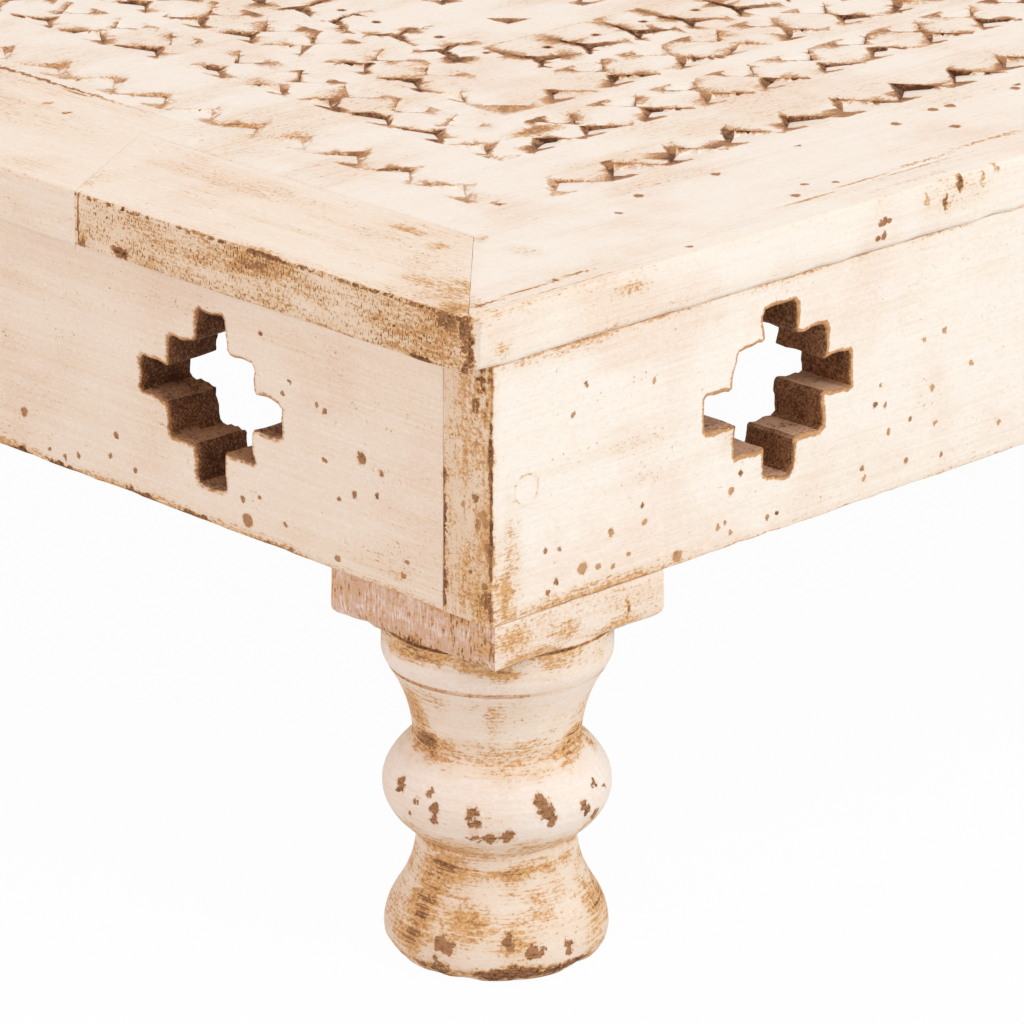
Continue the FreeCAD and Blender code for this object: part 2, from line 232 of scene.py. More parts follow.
def edge_levels(height):
    """Steps over an edge: the turn round an arris, the share down the wall, and which part it is.

    The part is 1 for the front arris, 0 for the wall and -1 for the back arris."""
    walls = max(2, round(height / WALL_STEP))
    front = [(turn, 0.0, 1.0) for turn in ARRIS_TURNS]
    wall = [(1.0, share / walls, 0.0) for share in range(1, walls)]
    return front + wall + [(turn, 1.0, -1.0) for turn in reversed(ARRIS_TURNS)]


def sway(place, seed):
    """How far a hand-sawn outline strays at a place."""
    return Vector((wander(place, 5 * MM, seed + 1), wander(place, 5 * MM, seed + 2))) * HOLE_SWAY


def wall_rows(board, corners, low, high, step, back_share, ragged, rough, seed, pierced):
    """Rows of points over a board's edge: its front arris, its wall and its back arris."""
    ring = along_outline(corners, step)
    if pierced:
        ring = [(place + sway(place, seed), inset, radius) for place, inset, radius in ring]
    rows = []
    for turn, down, side in edge_levels(high - low):
        angle = turn * math.pi / 2
        cut = lerp(HOLE_CUT_FACE, HOLE_CUT_WALL, turn * turn) if side > 0 else 1.0
        row = []
        for place, inset, radius in ring:
            spread = min(1.3, 1.0 + 0.5 * wander((place.x, place.y), 9 * MM, seed))
            arris = radius * spread * (back_share if side < 0 else 1.0)
            drop = arris * (1 - math.cos(angle))
            level = lerp(high - arris, low + arris, down)
            if side:
                level = high - drop if side > 0 else low + drop
            inward = inset * (arris / radius) * (1 - math.sin(angle))
            nick = abs(wander((place.x, place.y, level), 5 * MM, seed + 3)) * rough
            nick *= 1 + 4 * down * pierced
            nick += max(0.0, wander((place.x, place.y), 6 * MM, seed + 9)) * ragged * abs(side)
            spot = place + inward + inset.normalized() * nick
            wear = (0.55 + 0.45 * math.sin(angle * 2)) * min(1.0, radius / JOINT_WEAR_RADIUS)
            if side < 1:
                wear *= 0.5 * abs(side) * turn
            row.append((spot, board.point(spot.x, spot.y, level, wear, cut * pierced)))
        rows.append(row)
    for upper, lower in zip(rows, rows[1:]):
        for i in range(len(ring)):
            j = (i + 1) % len(ring)
            board.faces.append((upper[i][1], lower[i][1], lower[j][1], upper[j][1]))
    return rows


# %% Points that fill a board's face
FRINGE = 2.2 * MM
HOLE_FRINGE = 0.8 * MM
GRID_JITTER = 0.3


def inner_ring(loop, inset):
    """Points a little in from a loop, where its wear has faded to nothing."""
    ring = []
    for before, here, after in zip(loop[-1:] + loop[:-1], loop, loop[1:] + loop[:1]):
        edge = after - before
        if edge.length > SAME_PLACE * 10:
            ring.append(here + Vector((-edge.y, edge.x)).normalized() * inset)
    return ring


def clear_of(places, others, gap):
    """Those of the places that are at least a gap from all the others."""
    tree = kdtree.KDTree(len(others))
    for number, other in enumerate(others):
        tree.insert((other[0], other[1], 0), number)
    tree.balance()
    return [Vector(place) for place in places if tree.find((place[0], place[1], 0))[2] > gap]


def grid_points(loops, pitch, seed):
    """Loosely spaced points over a face, clear of its edges."""
    corners = [place for place, _ in loops[0]]
    low = Vector((min(p.x for p in corners), min(p.y for p in corners)))
    high = Vector((max(p.x for p in corners), max(p.y for p in corners)))
    draw = random.Random(int(seed * 10) + 7)
    places = []
    v = low.y + pitch / 2
    while v < high.y:
        u = low.x + pitch / 2
        while u < high.x:
            stray = [draw.uniform(-GRID_JITTER, GRID_JITTER) * pitch for _ in range(2)]
            places.append((u + stray[0], v + stray[1]))
            u += pitch
        v += pitch
    inside = np.zeros(len(places), bool)
    for loop in loops:
        inside ^= within(np.array(places), [place for place, _ in loop])
    kept = [place for place, good in zip(places, inside) if good]
    return clear_of(kept, [place for loop in loops for place, _ in loop], 1.5 * FRINGE)


# %% The whole board
EDGE_STEP = 4 * MM
HOLE_STEP = 1.5 * MM
RIPPLE = 0.05 * MM


def worn_board(name, to_world, outline, low, high, holes=(), grid=8 * MM, carving=None, back_share=0.5,
               ragged=0.12 * MM, rough=0.1 * MM, seed=0.0):
    """A board between two levels, with its worn arrises, walls and both faces."""
    board = Board(to_world)
    show_loops, back_loops = [], []
    for corners in [outline] + list(holes):
        pierced = bool(show_loops)
        step, wall = (HOLE_STEP, 4 * rough) if pierced else (EDGE_STEP, rough)
        rows = wall_rows(board, corners, low, high, step, back_share, ragged, wall,
                         seed + len(show_loops), pierced)
        show_loops.append(rows[0])
        back_loops.append(rows[-1])
    spots = [spot for loop in show_loops for spot, _ in loop]
    loose = grid_points(show_loops, grid, seed)
    for loop, gap in zip(show_loops, [FRINGE] + [HOLE_FRINGE] * len(holes)):
        loose += clear_of(inner_ring([spot for spot, _ in loop], gap), spots, gap * 0.6)
    dots, edges = [], []
    if carving:
        dots, edges = list(carving.dots), carving.edges
        loose = carving.clear(loose + carving.outer_rings(), RIM_FADE * 0.8)
    dots += [(place, 0.0, 0.0, 0.0) for place in loose]

    def planed(place):
        """The level of the show face, which a hand plane left rippled."""
        return high - RIPPLE * (1 + wander(place, 30 * MM, seed + 5))

    board.fill(show_loops, dots, edges, planed, True)
    board.fill(back_loops, [], [], lambda place: low, False)
    return board.finish(name)


# %% Dress a piece for its place
SHARP_FROM = math.radians(28)


def dress(piece, material, node, quarter_turns=0):
    """Paint a finished piece, turn it to its side of the table, and let it stand for its plain board."""
    piece.data.materials.append(material)
    piece.data.shade_smooth()
    piece.data.set_sharp_from_angle(angle=SHARP_FROM)
    piece.rotation_euler.z = quarter_turns * math.pi / 2
    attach(piece, "root")
    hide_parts(node)
    print(piece.name, len(piece.data.vertices), "points", len(piece.data.polygons), "faces")
    return piece

# %% [markdown]
# ## Chip carving
#
# Each chip is a pit cut with a few strokes: two steep walls that meet at the tip, and a long ramp that
# rises from their foot to the base. Cutting hundreds of them with booleans is slow and leaves no points
# along the rims, where the paint has worn. Here a chip lends its rim, its creases and its floor to the
# triangulation, so that every facet is crisp and each point knows whether it lies on a worn rim.

# %% The carving and one pit
RIM_STEP = 1.7 * MM
RIM_JITTER = 0.45 * MM
RIM_FADE = 1.2 * MM
RIM_CUT = 0.75
# A ramp's points have a cut below zero. It keeps the ramp clean and gives it a faint painted highlight
RAMP_CUT = -0.2
RAMP_EDGE = 0.7 * MM
RAMP_SHARES = (0.45, 0.68, 0.86)


class Carving:
    """Every pit of the top: its points with their depth, wear and cut, its creases and its rims."""

    def __init__(self):
        self.dots = []
        self.edges = []
        self.pits = []

    def dot(self, place, depth, wear, cut):
        """Add one point and give its number."""
        self.dots.append((Vector(place), depth, wear, cut))
        return len(self.dots) - 1

    def pit(self, corners, deepest, depth, dirt, ramp=0, patchy=0.4, white=0.0):
        """Cut a pit whose sides fall from its corners' outline to a deepest point.

        A ramp of 1 or -1 keeps its first side painted, except along the rim near its first or second
        corner. Any white is a painted highlight on the wall at that corner. It is stored as a cut below
        zero."""
        corners = [Vector(corner) for corner in corners]
        deepest = Vector(deepest)
        floor = self.dot(deepest, depth, 0.0, dirt)
        rim, spokes = [], []
        for index, corner in enumerate(corners):
            following = corners[(index + 1) % len(corners)]
            ramped = ramp if index == 0 else 0
            spokes.append(len(self.dots))
            rim += self.side_of_rim(corner, following, dirt, ramped, patchy)
            if ramped:
                for near, far, down in ((0.4, 0.22, 0.38), (0.2, 0.45, 0.35)):
                    place = corner * near + following * far + deepest * down
                    self.dot(place, depth * down, 0.0, RAMP_CUT)
                continue
            hollow = (corner + following + deepest) / 3
            shown = dirt * max(0.0, 1.15 - patchy * (0.4 - 2 * wander(hollow, 11 * MM, 4)))
            # The wall at this corner can carry a painted highlight, stored as a cut below zero
            if white and index == (2 if ramp > 0 else 1):
                shown = -white
            self.dot(hollow, depth * (0.4 + 0.12 * wander(hollow, 7 * MM, 2)), 0.0, shown)
        self.edges += list(zip(rim, rim[1:] + rim[:1]))
        for start in spokes:
            self.spoke(start, floor, depth, dirt)
        if ramp:
            self.edge_ramp(corners, deepest, depth, ramp)
        self.pits.append(([self.dots[number][0] for number in rim], deepest))

    def side_of_rim(self, corner, following, dirt, ramp, patchy):
        """Points along one side of a rim, soiled in patches. Beside a ramp they are clean from midway."""
        pieces = max(2, round((following - corner).length / RIM_STEP))
        numbers = []
        for piece in range(pieces):
            place = corner.lerp(following, piece / pieces)
            jitter = RIM_JITTER * (0.3 if piece == 0 else 1.0)
            place += Vector((wander(place, RIM_STEP, 3), wander(place, RIM_STEP, 8))) * jitter
            soiled = dirt * max(0.0, 1.0 - patchy * (0.5 - 2.2 * wander(place, 7 * MM, 5)))
            if ramp:
                near = piece if ramp > 0 else pieces - piece
                soiled *= 0.9 if near < 0.42 * pieces else 0.1
            numbers.append(self.dot(place, 0.0, soiled * 0.5, soiled * RIM_CUT))
        return numbers

    def spoke(self, start, floor, depth, dirt):
        """The crease from a corner of the rim down to the deepest point."""
        deepest = self.dots[floor][0]
        before = start
        for share in (0.4, 0.75):
            place = self.dots[start][0].lerp(deepest, share)
            place += Vector((wander(place, 4 * MM, 1), wander(place, 4 * MM, 6))) * RIM_JITTER * 0.7
            number = self.dot(place, depth * share, 0.0, dirt * 0.8)
            self.edges.append((before, number))
            before = number
        self.edges.append((before, floor))

    def edge_ramp(self, corners, deepest, depth, ramp):
        """Points just inside a ramp's two creases, so that its paint stays clean, with a faint painted
        highlight, up to them.
        """
        near, far = corners[:2] if ramp > 0 else corners[1::-1]
        for here, there, shares in ((near, far, RAMP_SHARES), (far, near, (0.2,) + RAMP_SHARES)):
            for share in shares:
                aside = min(0.4, RAMP_EDGE / ((1 - share) * (there - here).length))
                self.dot(here.lerp(there, aside).lerp(deepest, share), depth * share, 0.0, RAMP_CUT)

    def outer_rings(self):
        """Points just outside each rim, where the wear has faded."""
        return [p + (p - deepest).normalized() * RIM_FADE for rim, deepest in self.pits for p in rim]

    def clear(self, places, gap):
        """Those of the places that lie in no pit, and at least a gap from every rim."""
        array = np.array([tuple(place) for place in places])
        inside = np.zeros(len(array), bool)
        for rim, deepest in self.pits:
            reach = max((p - deepest).length for p in rim)
            near = np.flatnonzero(np.hypot(array[:, 0] - deepest.x, array[:, 1] - deepest.y) < reach)
            inside[near] |= within(array[near], rim)
        return clear_of(array[~inside], [p for rim, _ in self.pits for p in rim], gap)


# %% [markdown]
# ## Where the chips lie
#
# The carver stepped the bands off by eye from the corner. Where they can be seen clearly the
# distances below follow them one by one, and beyond that each band carries on at its usual pitch.

# %% Bands measured in from the faces of the four aprons
CHIP_WIDTH = 22 * MM
CHIP_PITCH = 24.6 * MM
CHIP_DEPTH = 1.9 * MM
FOOT_GAP = 0.35 * MM
OUTER_START = 61 * MM
OUTER_HEIGHT = 15.5 * MM
WIDE_START = 97 * MM
INNER_START = 130.5 * MM
ROW_HEIGHT = 11.3 * MM
TIP_GAP = 1.6 * MM
CROWFOOT_START = 161 * MM
CROWFOOT_PITCH = 22 * MM
CROWFOOT_WIDTH = 19.5 * MM
CROWFOOT_LENGTH = 27 * MM
HEART_START = 203.5 * MM
HEART_PITCH = 22 * MM
FRONT, RIGHT, BACK, LEFT = range(4)
DIRT = {FRONT: 0.95, RIGHT: 1.05, BACK: 0.9, LEFT: 0.85}
PATCHY = {FRONT: 0.6, RIGHT: 0.3, BACK: 0.5, LEFT: 0.6}
HAND = {FRONT: -1, RIGHT: 1, BACK: 1, LEFT: -1}

# %% Chips that can be seen, in millimetres from the near corner
# Each side has its outer, wide, inner and crow-foot band
SEEN_CHIPS = {
    FRONT: ((85, 108, 129, 152, 173, 193, 215, 237, 262, 287), (110, 133, 155, 177, 198, 228, 258),
            (155, 177, 200, 228, 250), (195, 218, 244, 262)),
    RIGHT: ((94, 117, 141, 165, 190, 213, 238, 262, 286), (120, 140, 165, 190, 215, 241),
            (160, 185, 213, 237), (182, 203, 225)),
}
NOT_SEEN = ((), (), (), ())
# Each band's chip on the diagonal: where it starts, its size against the outer chips, and its dirt
CORNER_CHIPS = (
    (OUTER_START + 5 * MM, 0.2, 0.6),
    (WIDE_START, 0.5, 0.4),
    (INNER_START, 0.95, 0.56),
    (HEART_START, 0.6, 0.85),
)
FRONT_SHALLOW = 0.7


def on_side(turn, along, distance):
    """A place on one of the four sides: along it from its middle, and in from the apron's face."""
    x, y = along, distance - HALF_BOX
    for _ in range(turn):
        x, y = -y, x
    return Vector((x, y))


def places_along(turn, start, pitch, near_corner=()):
    """Where a band's chips stand on one side, with the places near the front right corner given."""
    reach = HALF_BOX - start - pitch / 2
    toward = -1 if turn == RIGHT else 1
    given = [toward * (HALF_BOX - distance * MM) for distance in near_corner]
    if given:
        along = given[-1] - toward * pitch
        while abs(along) < reach:
            given.append(along)
            along -= toward * pitch
        return given
    count = int(reach / pitch)
    return [k * pitch for k in range(-count, count + 1)]


def triangle(carving, turn, along, start, height, shallow=1.0, reach=None, shown=1.0, white=0.0):
    """A three-cornered chip, its base at the start distance and its tip a height further in."""
    draw = random.Random(int(turn * 7919 + along / MM * 13 + start / MM * 31))
    before, after = reach or [CHIP_WIDTH / 2 * draw.uniform(0.72, 1.05) for _ in range(2)]
    lean = CHIP_WIDTH * HAND[turn] * draw.uniform(-0.08, 0.05)
    low = start + height * draw.uniform(-0.06, 0.08)
    tip = start + height * draw.uniform(0.86, 1.06)
    dirt = DIRT[turn] * draw.uniform(0.85, 1.2) * shown
    corners = [on_side(turn, along - before, low), on_side(turn, along + after, low),
               on_side(turn, along + lean, tip)]
    foot = along + lean + HAND[turn] * CHIP_WIDTH * draw.uniform(0.05, 0.12)
    deepest = on_side(turn, foot, lerp(low, tip, draw.uniform(0.76, 0.86)))
    ramp = HAND[turn]
    if height < 0:
        corners = [corners[1], corners[0], corners[2]]
        ramp = -ramp
    depth = CHIP_DEPTH * shallow * draw.uniform(0.8, 1.15)
    carving.pit(corners, deepest, depth, dirt, ramp, PATCHY[turn], white * draw.uniform(0.2, 1.2))


def zigzag(carving, turn, places, start, height, shallow):
    """A row of chips that stand foot to foot. On the right side the first one is nearly worn away."""
    places = sorted(places)
    places = [2 * places[0] - places[1]] + places + [2 * places[-1] - places[-2]]
    for number, (before, along, after) in enumerate(zip(places, places[1:], places[2:])):
        reach = ((along - before) / 2 - FOOT_GAP, (after - along) / 2 - FOOT_GAP)
        depth, shown, white = shallow, 1.0, 0.0
        # On the front the outer chips are paler, and one wall of each gets a painted highlight
        if turn == FRONT:
            shown, white = 0.64, 0.9
        elif turn == RIGHT and number == 0:
            depth, shown = 0.6, 0.55
        triangle(carving, turn, along, start, height, depth, reach, shown, white)


# %% Crow's feet, corners and petals
PETALS = 8
PETAL_START = 7 * MM
PETAL_END = 46 * MM
PETAL_WIDTH = 11 * MM
DOT_RADIUS = 1.2 * MM
DOT_SIDES = 8


def corner_chip(carving, turn, start, size, dirt):
    """A smaller chip on the diagonal, which turns the band at its corner."""
    corner = HALF_BOX - start
    corners = [on_side(turn, -corner, start), on_side(turn, -corner + size, start),
               on_side(turn, -corner, start + size)]
    carving.pit(corners, on_side(turn, -corner + size / 3, start + size / 3), CHIP_DEPTH * 0.5, dirt)


def crowfoot(carving, turn, along):
    """A three-legged chip with curved legs, two of them long, and a punched dot beside it."""
    draw = random.Random(int(turn * 104729 + along / MM * 17))
    start = CROWFOOT_START + CROWFOOT_LENGTH * draw.uniform(-0.05, 0.05)
    short, long = CROWFOOT_WIDTH * draw.uniform(0.22, 0.34), CROWFOOT_WIDTH * draw.uniform(0.6, 0.72)
    lean = CROWFOOT_WIDTH * draw.uniform(-0.2, 0.1)
    drift = CROWFOOT_LENGTH * draw.uniform(-0.08, 0.1)
    outline = [(-short, 0.0), (0.0, 0.17), (long * 0.5, 0.12), (long, 0.02 + drift / CROWFOOT_LENGTH),
               (long * 0.55, 0.23), (CROWFOOT_WIDTH * 0.06, 0.34), (lean + CROWFOOT_WIDTH * 0.03, 0.62),
               (lean, 1.0), (lean - CROWFOOT_WIDTH * 0.07, 0.6), (-CROWFOOT_WIDTH * 0.07, 0.32)]
    corners = [on_side(turn, along + u, start + CROWFOOT_LENGTH * v) for u, v in outline]
    heart = on_side(turn, along, start + CROWFOOT_LENGTH * 0.25)
    carving.pit(corners, heart, CHIP_DEPTH * draw.uniform(0.6, 0.8), DIRT[turn], patchy=PATCHY[turn])
    dot = on_side(turn, along + CROWFOOT_PITCH / 2, start + CROWFOOT_LENGTH * 0.55)
    angles = [k * 2 * math.pi / DOT_SIDES for k in range(DOT_SIDES)]
    ring = [dot + Vector((math.cos(angle), math.sin(angle))) * DOT_RADIUS for angle in angles]
    carving.pit(ring, dot, CHIP_DEPTH * 0.5, DIRT[turn])


def petal(carving, angle):
    """One leaf-shaped chip of the rosette."""
    out = Vector((math.cos(angle), math.sin(angle)))
    across = Vector((-out.y, out.x))
    middle = (PETAL_START + PETAL_END) / 2
    corners = [out * PETAL_START, out * middle - across * PETAL_WIDTH / 2,
               out * PETAL_END, out * middle + across * PETAL_WIDTH / 2]
    carving.pit(corners, out * middle, CHIP_DEPTH, 0.8)


# %% Cut all the bands
def carve_side(carving, turn):
    """The five bands of chips along one side."""
    outer_seen, wide_seen, inner_seen, crowfeet_seen = SEEN_CHIPS.get(turn, NOT_SEEN)
    outer = places_along(turn, OUTER_START + OUTER_HEIGHT, CHIP_PITCH, outer_seen)
    zigzag(carving, turn, outer, OUTER_START, OUTER_HEIGHT, FRONT_SHALLOW if turn == FRONT else 1.0)
    for start, seen in ((WIDE_START, wide_seen), (INNER_START, inner_seen)):
        far = start + 2 * ROW_HEIGHT + TIP_GAP
        for along in places_along(turn, far, CHIP_PITCH, seen):
            triangle(carving, turn, along, start, ROW_HEIGHT, 0.85, shown=0.95)
            if abs(along) < HALF_BOX - far - CHIP_WIDTH / 3:
                triangle(carving, turn, along, far, -ROW_HEIGHT, 0.7, shown=0.85)
    for along in places_along(turn, CROWFOOT_START + CROWFOOT_PITCH, CROWFOOT_PITCH, crowfeet_seen):
        crowfoot(carving, turn, along)
    for along in places_along(turn, HEART_START + OUTER_HEIGHT, HEART_PITCH):
        triangle(carving, turn, along, HEART_START, OUTER_HEIGHT, 0.8)
    for start, size, dirt in CORNER_CHIPS:
        corner_chip(carving, turn, start, OUTER_HEIGHT * size, dirt)


carving = Carving()
for side in (FRONT, RIGHT, BACK, LEFT):
    carve_side(carving, side)
for index in range(PETALS):
    petal(carving, index * 2 * math.pi / PETALS)
print(len(carving.pits), "pits,", len(carving.dots), "points")

# %% [markdown]
# ## Paint, patina and bare wood
#
# The finish is chalky cream paint over brown wood. One value, the density of the patina, decides what
# shows at each place: more of it tints the paint, then lets ochre specks through, then bares the wood.
# Films of age, worn rims, cut chips and listed stains all add to it, and fine grit breaks it up.

# %% Colours, as they are read off a colour chart
def shade(red, green, blue):
    """A colour given as 0 to 255 display values, turned into light."""
    return tuple(((c / 255 + 0.055) / 1.055) ** 2.4 for c in (red, green, blue)) + (1.0,)


CREAM = shade(252, 239, 226)
WARM = shade(250, 231, 213)
PALE = shade(249, 232, 219)
CHALK = shade(254, 247, 239)
# A painted highlight, laid on chip walls that face the lamp
HIGHLIGHT_WHITE = shade(255, 252, 248)
PINK = shade(247, 222, 205)
TAN = shade(231, 192, 144)
HONEY = shade(226, 168, 94)
OCHRE = shade(188, 118, 50)
WOOD = shade(180, 128, 88)
DARK = shade(88, 50, 28)
MAUVE = shade(214, 164, 138)
# A painted highlight on up-facing ledges of bare wood
LEDGE_LIGHT = shade(226, 180, 148)
RAW_WOOD = shade(150, 106, 70)
RAW_DARK = shade(112, 74, 48)
STEEL = shade(150, 146, 140)
BROWNED = shade(104, 86, 70)


# %% A finish in the making
class Finish:
    """A material being mixed, node by node."""

    def __init__(self, name):
        self.material = bpy.data.materials.new(name)
        self.material.use_nodes = True
        self.tree = self.material.node_tree
        self.shader = self.tree.nodes["Principled BSDF"]
        self.place = self.node("ShaderNodeTexCoord").outputs["Object"]
        self.normal = self.node("ShaderNodeTexCoord").outputs["Normal"]

    def feed(self, socket, value):
        """Give an input a value, or link another node's output to it."""
        if isinstance(value, bpy.types.NodeSocket):
            self.tree.links.new(value, socket)
        else:
            socket.default_value = value

    def node(self, kind, inputs=(), **settings):
        """Add one node, set it up, and feed it values or other nodes."""
        made = self.tree.nodes.new(kind)
        for key, value in settings.items():
            setattr(made, key, value)
        for key, value in dict(inputs).items():
            self.feed(made.inputs[key], value)
        return made

    def maths(self, operation, *values, clamp=False):
        """One sum on values."""
        made = self.node("ShaderNodeMath", enumerate(values), operation=operation, use_clamp=clamp)
        return made.outputs[0]

    def vector(self, operation, *values):
        """One sum on vectors. A distance or a length is a value, and any other sum is a vector."""
        made = self.node("ShaderNodeVectorMath", enumerate(values), operation=operation)
        return made.outputs["Value" if operation in ("DISTANCE", "LENGTH") else "Vector"]

    def add(self, a, b):
        return self.maths("ADD", a, b)

    def times(self, a, b):
        return self.maths("MULTIPLY", a, b)

    def plus(self, value, share, amount):
        """A value, and a share of some amount more."""
        return self.add(value, self.times(share, amount))

    def most(self, a, b):
        return self.maths("MAXIMUM", a, b)

    def less(self, a, b):
        return self.maths("SUBTRACT", a, b)

    def spread(self, value, low, high, **settings):
        """A value stretched to be 0 at low and 1 at high."""
        inputs = {"Value": value, "From Min": low, "From Max": high}
        return self.node("ShaderNodeMapRange", inputs, **settings).outputs["Result"]

    def step(self, value, low, high):
        """0 below low, 1 above high, and smooth between. A high below low turns it round."""
        if high < low:
            return self.less(1.0, self.step(value, high, low))
        return self.spread(value, low, high, interpolation_type="SMOOTHSTEP")

    def lay(self, share, under, over):
        """Lay one colour over another by a share."""
        inputs = {"Factor": share, "A": under, "B": over}
        made = self.node("ShaderNodeMix", data_type="RGBA")
        for socket in made.inputs:
            if socket.enabled and socket.name in inputs:
                self.feed(socket, inputs[socket.name])
        return [output for output in made.outputs if output.enabled][0]

    def grains(self, sizes, shift=0.0):
        """The place counted in grains of a size, in millimetres, along X, Y and Z."""
        scale = tuple(1 / (size * MM) for size in sizes)
        return self.vector("MULTIPLY_ADD", self.place, scale, (shift, shift * 1.3, shift * 0.7))

    def cloud(self, sizes, detail=3.0, roughness=0.55, shift=0.0):
        """Soft noise with grains of a size along each axis, spread to run from about 0 to 1."""
        inputs = {"Vector": self.grains(sizes, shift), "Scale": 1.0, "Detail": detail,
                  "Roughness": roughness}
        return self.spread(self.node("ShaderNodeTexNoise", inputs).outputs[0], 0.3, 0.7)

    def band(self, value, middle, half):
        """1 where a value is at a middle, falling to 0 at a half width on both sides."""
        return self.step(self.maths("ABSOLUTE", self.less(value, middle)), half, 0.2 * half)

    def facing(self, axis, low, high):
        """A step in how far a face looks along an axis."""
        return self.step(self.part(self.normal, axis), low, high)

    def finished(self, inputs, relief=None, strength=0.0, rise=0.0):
        """The material, with its shader's inputs fed and its surface raised by a relief, in millimetres."""
        for key, value in inputs.items():
            self.feed(self.shader.inputs[key], value)
        if relief:
            height = {"Height": relief, "Strength": strength, "Distance": rise * MM}
            self.feed(self.shader.inputs["Normal"], self.node("ShaderNodeBump", height).outputs[0])
        return self.material

    def attribute(self, name):
        """A value that the mesh carries at its points."""
        return self.node("ShaderNodeAttribute", attribute_name=name).outputs["Fac"]

    def part(self, vector, axis):
        """One part of a vector."""
        return self.node("ShaderNodeSeparateXYZ", {0: vector}).outputs[axis]


def along_grain(axes, long, fine):
    """Grain sizes in millimetres, long along the named axes and fine across them."""
    return tuple(long if axis in axes else fine for axis in "XYZ")


# %% Spots and stains, listed one by one
# Their heights are counted as if the table's top were at 200 mm
def frayed(finish, size, amount):
    """The place, shaken by noise so that what is drawn with it gets ragged edges."""
    inputs = {"Vector": finish.grains((size,) * 3, 4.0), "Scale": 1.0, "Detail": 2.0, "Roughness": 0.6}
    shake = finish.node("ShaderNodeTexNoise", inputs).outputs["Color"]
    centred = finish.vector("SUBTRACT", shake, (0.5,) * 3)
    return finish.vector("MULTIPLY_ADD", centred, (amount * MM,) * 3, finish.place)


def mark_height(finish):
    """The height in millimetres, as marks count it."""
    return finish.times(finish.less(finish.part(finish.place, "Z"), MARK_FLOOR), 1 / MM)


def chipped(finish, places, rough):
    """How far each point is from the nearest of some flakes, counted in that flake's own radius."""
    nearest = 9.0
    for x, y, z, radius in places:
        away = finish.vector("DISTANCE", rough, (x * MM, y * MM, z * MM + MARK_FLOOR))
        nearest = finish.maths("MINIMUM", finish.times(away, 1 / (radius * MM)), nearest)
    return nearest


def stained(finish, density, places, rough, crisp):
    """Add stains to a density. Each is a middle, a reach along X, Y and Z, and a strength."""
    for (x, y, z), reach, strength in places:
        scale = tuple(1 / (length * MM) for length in reach)
        shift = tuple(-at / length for at, length in zip((x, y, z + MARK_FLOOR / MM), reach))
        moved = finish.vector("MULTIPLY_ADD", crisp if min(reach) < 1 else rough, scale, shift)
        share = finish.maths("MULTIPLY_ADD", finish.vector("LENGTH", moved), -1.5, 1.5, clamp=True)
        density = finish.plus(density, share, strength)
    return density


# %% Parts of the painted finish
RIM_SOFTNESS = 0.12


class OldPaint(Finish):
    """A painted finish with its noises, whose grains lie along the wood's own."""

    def __init__(self, name, grain):
        super().__init__(name)
        self.mottle = self.cloud((45, 45, 45), 3, 0.55, 1.0)
        self.broad = self.cloud(along_grain(grain, 110, 14), 3, 0.55, 6.0)
        self.brush = self.cloud(along_grain(grain, 38, 0.9), 3, 0.6, 3.0)
        self.scratch = self.cloud(along_grain(grain, 8, 0.45), 2, 0.6, 5.0)
        self.grit = self.cloud(along_grain(grain, 1.4, 0.8), 3, 0.65, 2.0)
        self.patch = self.cloud(along_grain(grain, 25, 8), 3, 0.6, 8.0)
        self.cut = self.attribute(CUT)

    def cut_past(self, level, gritty):
        """1 where the cut is past a level, give or take some grit."""
        uneven = self.plus(self.cut, self.less(self.grit, 0.5), gritty)
        return self.step(uneven, level, level + RIM_SOFTNESS)


def aged(f, film, wear, scratched, pepper):
    """How dense the patina is, from a film of age, worn rims, cuts, scratches and open pores."""
    worn = f.times(f.times(f.attribute(WEAR), wear), f.add(0.25, f.patch))
    density = f.plus(f.add(film, worn), f.most(f.cut, 0.0), 0.8)
    density = f.plus(density, f.less(f.scratch, 0.5), f.times(scratched, f.add(f.patch, 0.3)))
    if pepper:
        dot = f.cloud((1.4, 1.4, 1.4), 3, 0.7, 22.0)
        density = f.plus(density, f.step(dot, 0.75, 1.0), f.times(f.step(f.patch, 0.35, 0.9), pepper))
    return density


def paint_colour(f, base, film):
    """The paint's own colour, with pink and chalky places and tan in its grit and brush marks."""
    colour = f.lay(f.times(f.step(f.mottle, 0.4, 0.9), 0.6), base, PINK)
    colour = f.lay(f.times(f.step(f.brush, 0.5, 0.9), 0.25), colour, CHALK)
    colour = f.lay(f.times(f.step(f.grit, 0.5, 0.0), 0.5), colour, CHALK)
    colour = f.lay(f.times(f.step(f.grit, 0.5, 1.0), f.plus(0.16, film, 0.5)), colour, TAN)
    return f.lay(f.times(f.step(f.brush, 0.5, 0.1), f.plus(0.06, film, 0.7)), colour, TAN)


def flaked(f, thin, flakes, fray, faint):
    """Where the paint is thin once flakes have thinned it too, and where they have bared fresh wood."""
    away = chipped(f, flakes, frayed(f, 2.0, fray))
    thin = f.most(thin, f.times(f.step(away, 1.3, 0.95), 0.4))
    fresh = f.step(away, 0.95, 0.8)
    if faint:
        thin = f.most(thin, f.step(away, 0.98, 0.85))
        hidden = f.times(f.step(f.cloud((9, 9, 9), 2, 0.5, 31.0), 0.2, 0.7), faint)
        fresh = f.times(fresh, f.less(1.0, hidden))
    return thin, fresh


